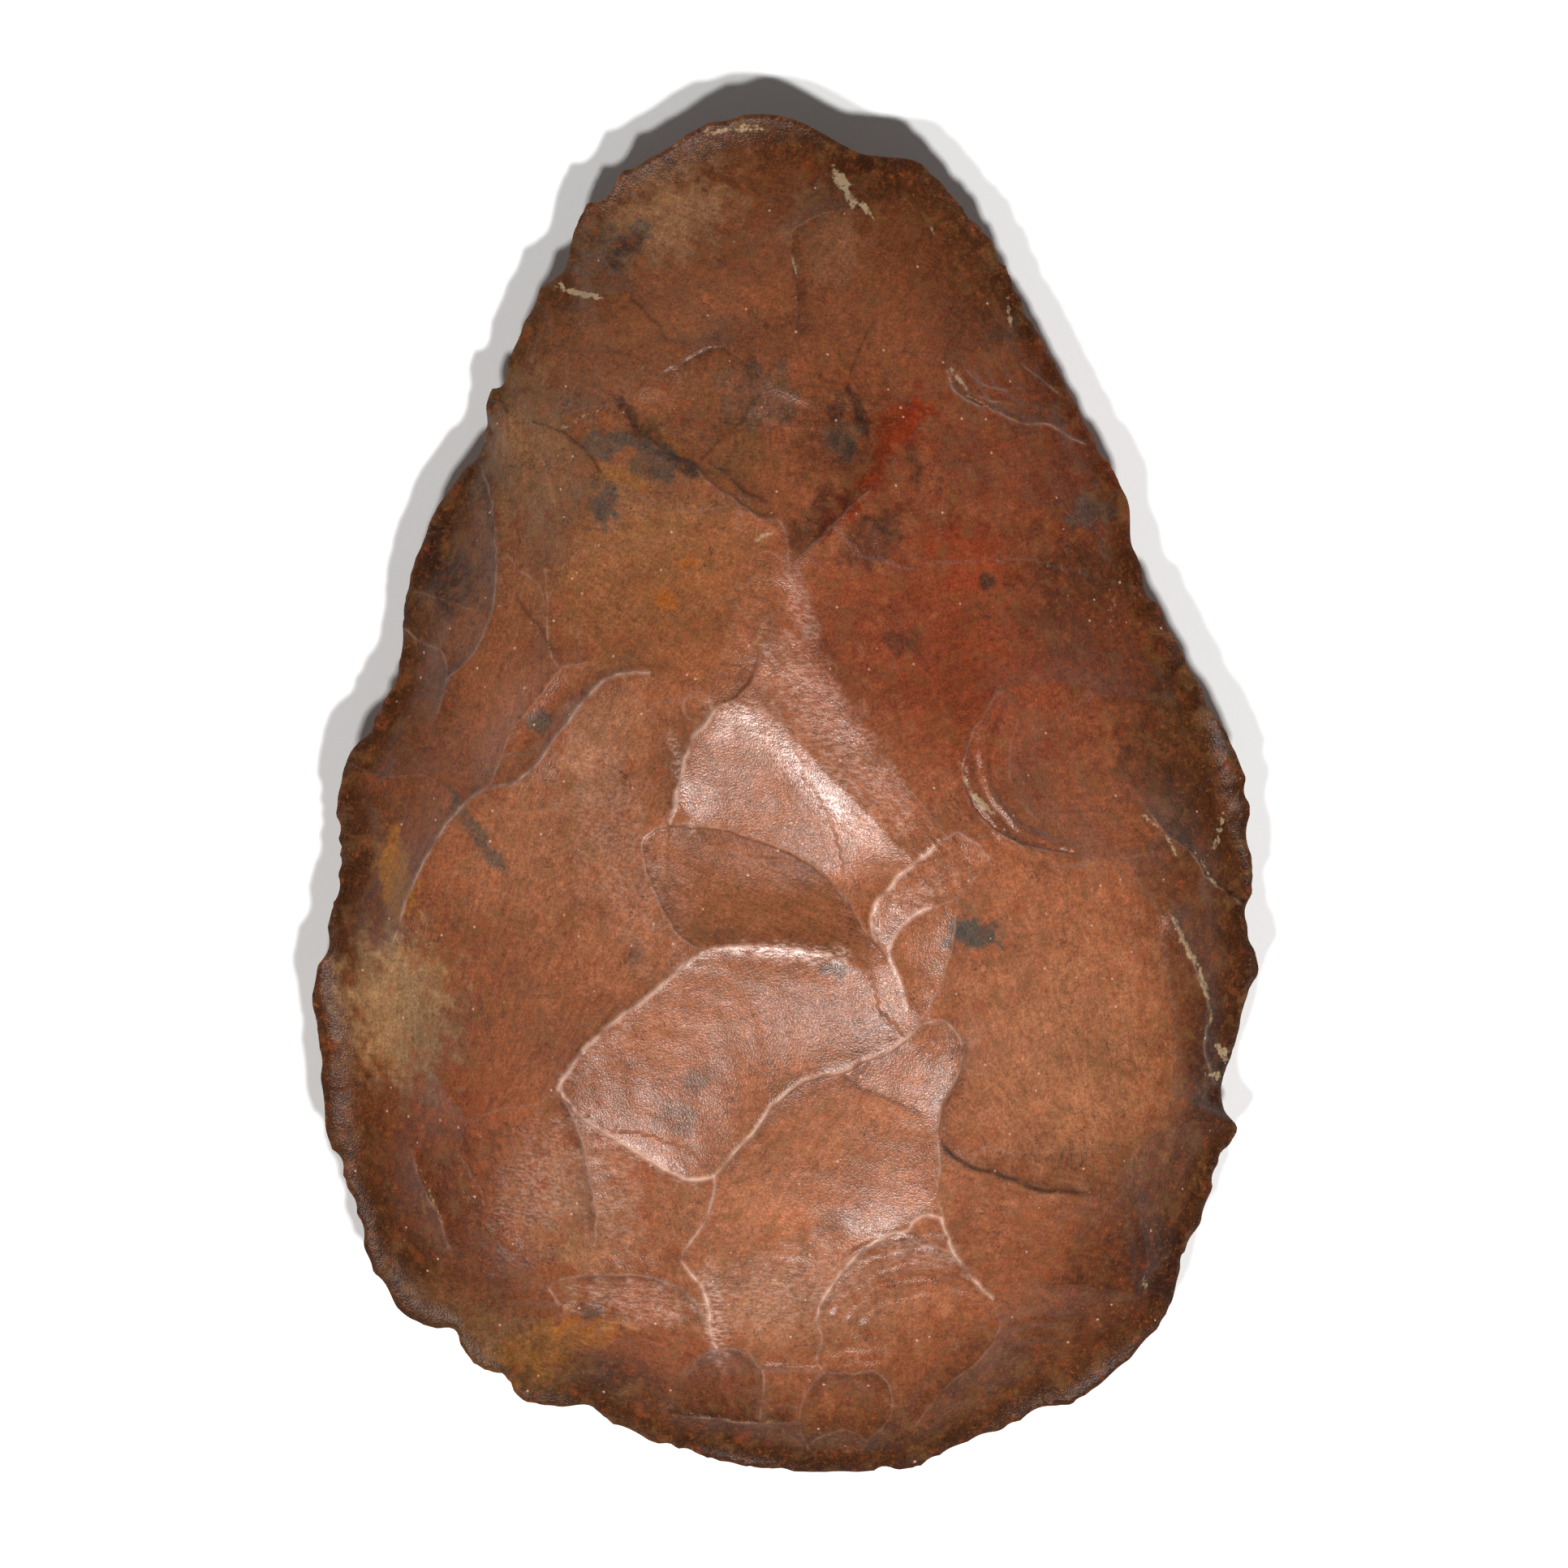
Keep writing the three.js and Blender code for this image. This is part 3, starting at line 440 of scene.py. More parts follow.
def curve_between(a, b, c, d, steps):
    """Points on the smooth curves that lead from each b to its c, bent by the neighbours a and d."""
    t = (np.arange(steps) / steps)[None, :, None]
    bend_in = c - a - 2 * (c - b)
    bend_out = d - b - 2 * (c - b)
    line = b + t * (c - b) + 0.5 * t * (1 - t) * ((1 - t) * bend_in - t * bend_out)
    return line.reshape(-1, 2)


def reach_line(points, steps):
    """Smooth closed line through the points."""
    p = np.array(points, float)
    a, b, c, d = (np.roll(p, -k, axis=0)[:, None] for k in (-1, 0, 1, 2))
    return curve_between(a, b, c, d, steps)


def polar(x, y):
    """Direction and distance from the heart of the stone."""
    return np.arctan2(y - HEART[1], x - HEART[0]), np.hypot(x - HEART[0], y - HEART[1])


def swell(x, y, wavelength, seed, waves=9):
    """Gentle seeded unevenness between about -1 and 1, with bumps of about that wavelength."""
    rng = np.random.RandomState(seed)
    total = np.zeros_like(x)
    for _ in range(waves):
        turn, phase = rng.uniform(0, 2 * math.pi, 2)
        pitch = wavelength * rng.uniform(0.7, 1.5)
        total += np.sin((x * math.cos(turn) + y * math.sin(turn)) * 2 * math.pi / pitch + phase)
    return total / math.sqrt(waves)


def ease(value, low, high):
    """0 at low and 1 at high, with a soft start and end."""
    t = np.clip((value - low) / (high - low), 0, 1)
    return t * t * (3 - 2 * t)


def tapered(run):
    """Fades a broken lip out towards both its ends."""
    return ease(run, 0.0, LIP_TAPER) * ease(run, 1.0, 1.0 - LIP_TAPER)


def aim(degrees):
    turn = math.radians(degrees)
    return math.cos(turn), math.sin(turn)


def in_oval(oval, x, y):
    """Place along and across a turned oval, 1 at its border."""
    c, n = aim(oval.turn)
    along = ((x - oval.x) * c + (y - oval.y) * n) / oval.long
    across = ((y - oval.y) * c - (x - oval.x) * n) / oval.wide
    return along, across


class Edge:
    """The stone's outline seen from its heart: how far it lies in each direction."""

    TABLE_STEP = 0.25   # degrees between two entries of a table
    SOFTENED = 60       # entries to each side over which the soft outline is evened
    FINE_STEP = 0.1     # degrees between the points that the rim is measured along
    BITE_SEED = 11
    LEAST_BITE = 0.45
    SET_BACK = 0.12     # what the bites take away on average, given back

    def __init__(self, nibble):
        line = reach_line(OUTLINE, CURVE_STEPS)
        turn, away = polar(line[:, 0], line[:, 1])
        order = np.argsort(turn)
        self.turns = np.radians(np.arange(-180, 180, self.TABLE_STEP))
        reach = np.interp(self.turns, turn[order], away[order], period=2 * math.pi)
        self.soft = self.spread(reach, self.SOFTENED)
        self.reach = reach - nibble * self.bites(reach)

    @staticmethod
    def spread(values, half):
        """Evens a table out over its neighbouring entries, all the way round."""
        kernel = np.hanning(2 * half + 1)
        wrapped = np.concatenate([values[-half:], values, values[:half]])
        return np.convolve(wrapped, kernel / kernel.sum(), "valid")

    @staticmethod
    def along(turns, reach):
        """Places along the edge, and how far along it each of them lies."""
        x, y = HEART[0] + reach * np.cos(turns), HEART[1] + reach * np.sin(turns)
        return x, y, np.concatenate([[0], np.cumsum(np.hypot(np.diff(x), np.diff(y)))])

    def bites(self, reach):
        """Scalloped nibbling of the edge: shallow bites with sharp cusps between them."""
        rng = np.random.RandomState(self.BITE_SEED)
        x, y, run = self.along(self.turns, reach)
        depth = np.zeros_like(run)
        at = 0.0
        while at < run[-1]:
            pitch = self.LEAST_BITE * math.exp(rng.uniform(0, 2.0))
            inside = (run - at - pitch / 2) / (pitch / 2)
            lean = 1 + rng.uniform(-0.6, 0.6) * inside
            depth += np.clip(1 - inside ** 2, 0, 1) * lean * pitch * rng.uniform(0.02, 0.24)
            at += pitch * rng.uniform(0.8, 1.3)
        coarse = 0.75 + 0.45 * swell(x, y, 9, 12)
        return depth * np.clip(coarse, 0.2, 1.4) - self.SET_BACK

    def at(self, table, turn):
        return np.interp(turn, self.turns, table, period=2 * math.pi)

    def gap(self, x, y):
        """Distance that is left to the edge."""
        turn, away = polar(x, y)
        return self.at(self.reach, turn) - away

    def share(self, x, y):
        """0 at the heart and 1 at the edge: its nibbled shape near the edge, a softer one inside."""
        turn, away = polar(x, y)
        true_reach, soft_reach = self.at(self.reach, turn), self.at(self.soft, turn)
        share = away / true_reach
        for _ in range(3):
            blend = share ** 10
            share = np.minimum(1.0, away / (soft_reach * (1 - blend) + true_reach * blend))
        return share

    def rim(self, spacing):
        """Points along the edge, evenly spaced."""
        fine = np.radians(np.arange(-180, 180, self.FINE_STEP))
        x, y, run = self.along(fine, self.at(self.reach, fine))
        places = np.arange(0, run[-1], spacing)
        return np.column_stack([np.interp(places, run, x), np.interp(places, run, y)])


def scar_row(count, out, long, wide, depth, start):
    """Scars struck in from all round on the resting face, out being their distance from the heart."""
    row = []
    for i in range(count):
        uneven = math.sin(2.4 * i + 1) * ROW_UNEVEN
        turn = math.radians(start + 360 * (i + uneven) / count)
        away = out * (1 + 0.3 * uneven) * ROW_REACH * (1 + ROW_LONGER * max(0, math.sin(turn)))
        row.append(Scar(HEART[0] + away * math.cos(turn), HEART[1] + away * math.sin(turn),
                        long * (1 + uneven), wide * (1 - uneven / 2), math.degrees(turn),
                        depth * (1 + uneven), ROW_RIPPLE))
    return row


UNDER_SCARS = scar_row(9, 0.6, 13.5, 9.0, 2.4, 12) + scar_row(19, 0.93, 6.2, 4.6, 1.7, 4)


class Ridges:
    """Ridge lines as short straight pieces, with the nearest one to any point."""

    STEPS = 8       # pieces between two points of a course
    CLUSTER = 8     # pieces that are looked at together
    WANDER = 0.045  # how far a line strays from its course
    FAR = 99.0

    def __init__(self, creases, seed):
        starts, ends, marks = [], [], []
        for crease in creases:
            p = np.array(crease.line, float)
            p = np.concatenate([2 * p[:1] - p[1:2], p, 2 * p[-1:] - p[-2:-1]])
            a, b, c, d = (p[k:len(p) - 3 + k, None] for k in range(4))
            bent = np.concatenate([curve_between(a, b, c, d, self.STEPS), p[-2:-1]])
            x, y = bent.T.copy()
            bent[:, 0] += self.WANDER * swell(x, y, 1.3, seed)
            bent[:, 1] += self.WANDER * swell(x, y, 1.3, seed + 1)
            starts.append(bent[:-1])
            ends.append(bent[1:])
            run = np.linspace(0, 1, len(bent))[:-1]
            low = crease.low[0] + (crease.low[1] - crease.low[0]) * run
            marks.append(np.stack([0 * run + crease.firm, 0 * run + crease.pale, run, low], 1))
        self.a, self.b, self.marks = np.concatenate(starts), np.concatenate(ends), np.concatenate(marks)

    def nearest(self, x, y, within):
        """Way to the nearest ridge, its length, the side the ridge is passed on, and its marks:
        how firm, how pale, how far along its course and how low."""
        way = np.full((len(x), 2), self.FAR)
        far = np.full(len(x), self.FAR)
        side = np.zeros(len(x))
        marks = np.zeros((len(x), 4))
        for low in range(0, len(self.a), self.CLUSTER):
            a, b = self.a[low:low + self.CLUSTER], self.b[low:low + self.CLUSTER]
            left, below = np.minimum(a, b).min(0) - within
            right, above = np.maximum(a, b).max(0) + within
            k = np.flatnonzero((x > left) & (x < right) & (y > below) & (y < above))
            if not len(k):
                continue
            gap = np.stack([x[k], y[k]], 1)[:, None] - a[None]
            run = (b - a)[None]
            part = np.clip((gap * run).sum(2) / (run ** 2).sum(2), 0, 1)
            off = part[..., None] * run - gap
            away = np.hypot(off[..., 0], off[..., 1])
            best = away.argmin(1)
            pick = np.arange(len(k))
            closer = away[pick, best] < far[k]
            k, best, pick = k[closer], best[closer], pick[closer]
            far[k] = away[pick, best]
            way[k] = off[pick, best]
            side[k] = np.sign(run[0, best, 0] * gap[pick, best, 1] - run[0, best, 1] * gap[pick, best, 0])
            marks[k] = self.marks[low + best]
        return way, far, side, marks


class Face:
    """One face of the stone as a height over the plane of its edge."""

    NICKS = 150         # small nicks all round the edge
    NICK_DEPTH = 0.4    # share of the height that the deepest nick takes
    BUBBLE = 2.2        # a flake ran off from a point this many half lengths behind its scar's middle

    def __init__(self, edge, scars, rise, power, flat, seed, ripple):
        self.edge, self.scars, self.rise, self.power = edge, scars, rise, power
        self.flat, self.seed, self.ripple = flat, seed, ripple
        rng = np.random.RandomState(seed)
        turns = np.cumsum(rng.uniform(0.6, 1.7, self.NICKS))
        turns = turns / turns[-1] * 2 * math.pi
        size = rng.uniform(0.7, 2.3, self.NICKS)
        away = edge.at(edge.reach, turns) - size * rng.uniform(0.2, 0.8, self.NICKS)
        self.nicks = np.stack([HEART[0] + away * np.cos(turns), HEART[1] + away * np.sin(turns), size,
                               rng.uniform(0.4, 1.0, self.NICKS)], 1)

    def bowls(self, x, y):
        """Depth of every scar at every point, with the slopes of each depth."""
        wx = x + 0.35 * swell(x, y, 9, self.seed) + 0.1 * swell(x, y, 2.2, self.seed + 1)
        wy = y + 0.35 * swell(x, y, 9, self.seed + 2) + 0.1 * swell(x, y, 2.2, self.seed + 3)
        depths, slopes = [np.zeros_like(x)], [np.zeros((2, len(x)))]
        for s in self.scars:
            c, n = aim(s.turn)
            along, across = in_oval(s, wx, wy)
            depths.append(s.depth * (1 - along ** 2 - across ** 2))
            slopes.append(-2 * s.depth * np.stack([along * c / s.long - across * n / s.wide,
                                                   along * n / s.long + across * c / s.wide]))
        return np.array(depths), np.array(slopes)

    def ridge(self, x, y):
        """Way from each point to the closest ridge, how far it is, how sharp and how pale."""
        depths, slopes = self.bowls(x, y)
        order = np.argsort(-depths, axis=0)[:2]
        pick = np.arange(len(x))
        spare = depths[order[0], pick] - depths[order[1], pick]
        change = slopes[order[0], :, pick] - slopes[order[1], :, pick]
        steep = np.maximum(np.hypot(change[:, 0], change[:, 1]), 1e-6)
        return -change * (spare / steep ** 2)[:, None], spare / steep, ease(steep, 0.1, 0.5), 0.3 + 0 * x

    def depth(self, x, y):
        """Depth of the carving under the uncut surface, and the scar that made it."""
        depths, _ = self.bowls(x, y)
        return depths.max(0), depths.argmax(0)

    def struck(self, x, y, first):
        """Place in the scar's own frame, across and along the way the flake ran off."""
        frame = np.zeros((len(x), 3))
        for number, s in enumerate(self.scars, start=1):
            here = first == number
            way = np.array(aim(s.turn))
            way *= 1 if way @ (s.x - HEART[0], s.y - HEART[1]) > 0 else -1
            px, py = np.array([s.x, s.y]) + self.BUBBLE * s.long * way
            away = np.hypot(x[here] - px, y[here] - py)
            swing = np.arctan2(way[0] * (y[here] - py) - way[1] * (x[here] - px),
                               -way[0] * (x[here] - px) - way[1] * (y[here] - py))
            frame[here] = np.stack([swing * self.BUBBLE * s.long, away, 0 * away + number], 1)
        return frame

    def height(self, x, y):
        """Height over the edge plane, and how much a nick has bitten off there."""
        share = self.edge.share(x, y)
        dome = self.rise * (1 - share ** self.power)
        keep = dome / (dome + EDGE_KEEP)
        deep, first = self.depth(x, y)
        height = dome - keep * (deep + self.ripple * self.rings(x, y, first))
        wild = 0.55 + 0.9 * np.maximum(ease(y, 8, 22), ease(share, 0.6, 0.9))
        rough = (0.08 * swell(x, y, 6, self.seed + 7) + 0.04 * swell(x, y, 2.1, self.seed + 8)
                 + 0.018 * swell(x, y, 0.9, self.seed + 9))
        height += rough * keep * wild
        bite = np.zeros_like(x)
        for nx, ny, size, strength in self.nicks:
            out = ((x - nx) ** 2 + (y - ny) ** 2) / size ** 2
            bite = np.maximum(bite, strength * (1 - out))
        bite = np.clip(bite, 0, 1)
        height = height * (1 - self.NICK_DEPTH * bite)
        return np.minimum(height, self.flat), bite

    def rings(self, x, y, first):
        """Faint shock rings round the point where each flake was struck off, strongest at its far end."""
        total = np.zeros_like(x)
        depths, _ = self.bowls(x, y)
        for number, s in enumerate(self.scars, start=1):
            here = first == number
            if not s.ripple or not here.any():
                continue
            turn, _ = polar(s.x, s.y)
            away = self.edge.at(self.edge.reach, turn)
            px, py = HEART[0] + away * math.cos(turn), HEART[1] + away * math.sin(turn)
            gone = np.hypot(x[here] - px, y[here] - py) + 0.25 * swell(x[here], y[here], 4, number)
            far = math.hypot(s.x - px, s.y - py) + 0.7 * s.long
            pitch = 0.9 + 0.05 * min(s.long, 12)
            wave = np.abs(np.sin(math.pi * gone / pitch)) - RING_LEVEL
            strength = ease(gone / far, 0.25, 1.0) * ease(depths[number][here], 0.0, 0.4)
            total[here] = 0.12 * s.ripple * wave * strength
        return total


class SeenFace(Face):
    """The seen face: a skin that sags between the ridge lines, as far as each scar is deep."""

    GRID_X = (-36.4, 36.5)  # the grid on which the skin sags
    GRID_Y = (-52.0, 52.1)
    CELL = 0.2
    CORE = 0.55             # share of its depth from which a scar surely owns a cell
    GROWTH = 70             # rounds in which the scars grow up to the ridges
    CLOSING = 4             # rounds in which they grow over them
    ROUNDS = 260            # rounds in which the skin settles
    OVERSHOOT = 1.9
    LIP_SHADE = 0.42        # how dark the painted shade in the angle under a broken lip is, and how far that reaches
    LIP_REACH = 0.75
    ANGLE_SHADE = 0.16      # the same for painted shade beside every firm ridge
    ANGLE_REACH = 0.6
    CRACK_HALF = 0.14
    LIP_FOOT = 0.06         # the ground drops this far from the lip's line
    WAVE_GAIN = 1.6
    WAVE_FADE = 18          # degrees over which a ripple fades in and out
    FIRM_HOLD = 1.7         # a ridge of firmness 1.02 would hold the skin without any give
    FIRMEST = 1.02
    HOLD_HALF = 0.2         # half width of the strip in which a ridge holds the skin
    HOLD_SPREAD = 0.35
    BARRIER = 0.24          # half width of the strip that keeps two scars apart
    TONE_ROUNDS = 3

    def __init__(self, *given, **more):
        super().__init__(*given, **more)
        seed = self.seed + 20
        self.ridges = Ridges(CREASES, seed)
        self.xs = np.arange(*self.GRID_X, self.CELL)
        self.ys = np.arange(*self.GRID_Y, self.CELL)
        gx, gy = np.meshgrid(self.xs, self.ys)
        shape = gx.shape
        x, y = gx.ravel(), gy.ravel()
        depths, _ = self.bowls(x, y)
        inside = (self.edge.gap(x, y) > -0.5).reshape(shape)
        _, far, _, marks = self.ridges.nearest(x, y, 1.0)
        firm, low = marks[:, 0], marks[:, 3]
        held = (self.FIRM_HOLD * firm / (self.FIRMEST - firm)
                * np.exp(-(far / self.HOLD_HALF) ** 2) / self.HOLD_SPREAD).reshape(shape)
        self.scar = self.spread_scars(depths, (far < self.BARRIER).reshape(shape), inside)
        pull = np.array([0] + [2 * s.depth * (s.long ** -2 + s.wide ** -2) for s in self.scars])
        self.sag = self.settle(np.maximum(depths.max(0), 0).reshape(shape), pull[self.scar], held,
                               low.reshape(shape), inside)
        tone = np.array([1.0] + [s.tone for s in self.scars])[self.scar]
        for _ in range(self.TONE_ROUNDS):
            tone = (tone + np.roll(tone, 1, 0) + np.roll(tone, -1, 0) + np.roll(tone, 1, 1)
                    + np.roll(tone, -1, 1)) / 5
        self.tone = tone
        self.steps = [(s, Ridges([Crease(1, 1, s.line)], seed)) for s in STEPS]
        self.roll = Ridges([Crease(1, 1, ROLL)], seed)

    def spread_scars(self, depths, on_ridge, inside):
        """Which scar each cell belongs to, grown from the middles of the scars up to the ridges."""
        first = depths.argmax(0).reshape(inside.shape)
        cores = np.array([0] + [self.CORE * s.depth for s in self.scars])
        label = np.where((depths.max(0).reshape(inside.shape) > cores[first]) & ~on_ridge, first, 0)
        for rounds, barred in ((self.GROWTH, on_ridge), (self.CLOSING, np.zeros_like(on_ridge))):
            for _ in range(rounds):
                free = (label == 0) & ~barred
                for axis, way in ((0, 1), (0, -1), (1, 1), (1, -1)):
                    near = np.roll(label, way, axis)
                    label = np.where(free & (label == 0), near, label)
        return np.where(label == 0, first, label)

    def settle(self, sag, pull, held, low, inside):
        """Let the skin sag under its pull until it rests, held along the ridges, free at the edge."""
        cell = self.CELL ** 2
        mask = inside.astype(float)
        weight = np.maximum(self.neighbours(mask), 1) + cell * held
        odd = (np.add.outer(np.arange(sag.shape[0]), np.arange(sag.shape[1])) % 2) == 1
        sag = sag * mask
        for _ in range(self.ROUNDS):
            for turn in (odd, ~odd):
                rest = (self.neighbours(sag * mask) + cell * (pull + held * low)) / weight
                sag = np.where(turn, sag + self.OVERSHOOT * (rest - sag), sag) * mask
        return sag

    @staticmethod
    def neighbours(field):
        """Sum of the four neighbours of each cell."""
        total = np.zeros_like(field)
        total[1:] += field[:-1]
        total[:-1] += field[1:]
        total[:, 1:] += field[:, :-1]
        total[:, :-1] += field[:, 1:]
        return total

    def read(self, grid, x, y):
        """Value of a grid between its cells."""
        u = np.clip((x - self.xs[0]) / self.CELL, 0, len(self.xs) - 1.001)
        v = np.clip((y - self.ys[0]) / self.CELL, 0, len(self.ys) - 1.001)
        i, j = u.astype(int), v.astype(int)
        s, t = u - i, v - j
        low = grid[j, i] * (1 - s) + grid[j, i + 1] * s
        return low * (1 - t) + (grid[j + 1, i] * (1 - s) + grid[j + 1, i + 1] * s) * t

    def ridge(self, x, y):
        way, far, _, marks = self.ridges.nearest(x, y, 1.2)
        return way, far, marks[:, 0], marks[:, 1]

    def shade(self, x, y):
        """Tone of the skin: each scar has its own, with painted shade in the angle under a broken lip,
        beside every firm ridge and in the crack at a lip's foot.
        """
        tone = self.read(self.tone, x, y)
        _, far, _, marks = self.ridges.nearest(x, y, 1.6)
        # Painted shade beside every firm ridge.
        tone *= 1 - self.ANGLE_SHADE * marks[:, 0] * np.exp(-far / self.ANGLE_REACH)
        for step, line in self.steps:
            _, far, side, marks = line.nearest(x, y, 3.0)
            ends = tapered(marks[:, 2])
            # Painted shade in the angle on the low side of the lip.
            under = self.LIP_SHADE * np.exp(-far / self.LIP_REACH)
            tone *= 1 - ends * np.where(side > 0, under, 0)
            # Painted shadow in the crack at the lip's foot.
            tone *= 1 - ends * step.crack * np.exp(-(far / self.CRACK_HALF) ** 2)
        return tone

    def depth(self, x, y):
        i = np.clip(np.rint((x - self.xs[0]) / self.CELL).astype(int), 0, len(self.xs) - 1)
        j = np.clip(np.rint((y - self.ys[0]) / self.CELL).astype(int), 0, len(self.ys) - 1)
        deep = self.read(self.sag, x, y)
        for step, line in self.steps:
            _, far, side, marks = line.nearest(x, y, 3 * step.reach)
            drop = step.drop * tapered(marks[:, 2]) * np.exp(-far / step.reach)
            deep += np.where((side > 0) & (far > self.LIP_FOOT), drop, 0)
        for w in WAVES:
            away = np.hypot(x - w.x, y - w.y) + 0.12 * swell(x, y, 3, 61)
            turn = (np.degrees(np.arctan2(y - w.y, x - w.x)) - w.start) % 360
            span = (w.end - w.start) % 360
            strength = (ease(away, w.inner, w.inner + w.pitch)
                        * ease(away, w.outer, w.outer - 0.6 * w.pitch)
                        * ease(turn, 0, self.WAVE_FADE) * ease(turn, span, span - self.WAVE_FADE))
            ring = np.abs(np.sin(math.pi * away / w.pitch)) - RING_LEVEL
            deep += self.ripple * w.height * strength * ring * self.WAVE_GAIN
        deep -= ROLL_RISE * self.rolled(x, y)
        return deep, self.scar[j, i]

    def rolled(self, x, y):
        """How much of the roll along the shoulder is at each point."""
        _, far, _, marks = self.roll.nearest(x, y, 3 * ROLL_HALF)
        ends = ease(marks[:, 2], 0.0, 0.1) * ease(marks[:, 2], 1.1, 0.5)
        return ends * np.exp(-(far / ROLL_HALF) ** 2)
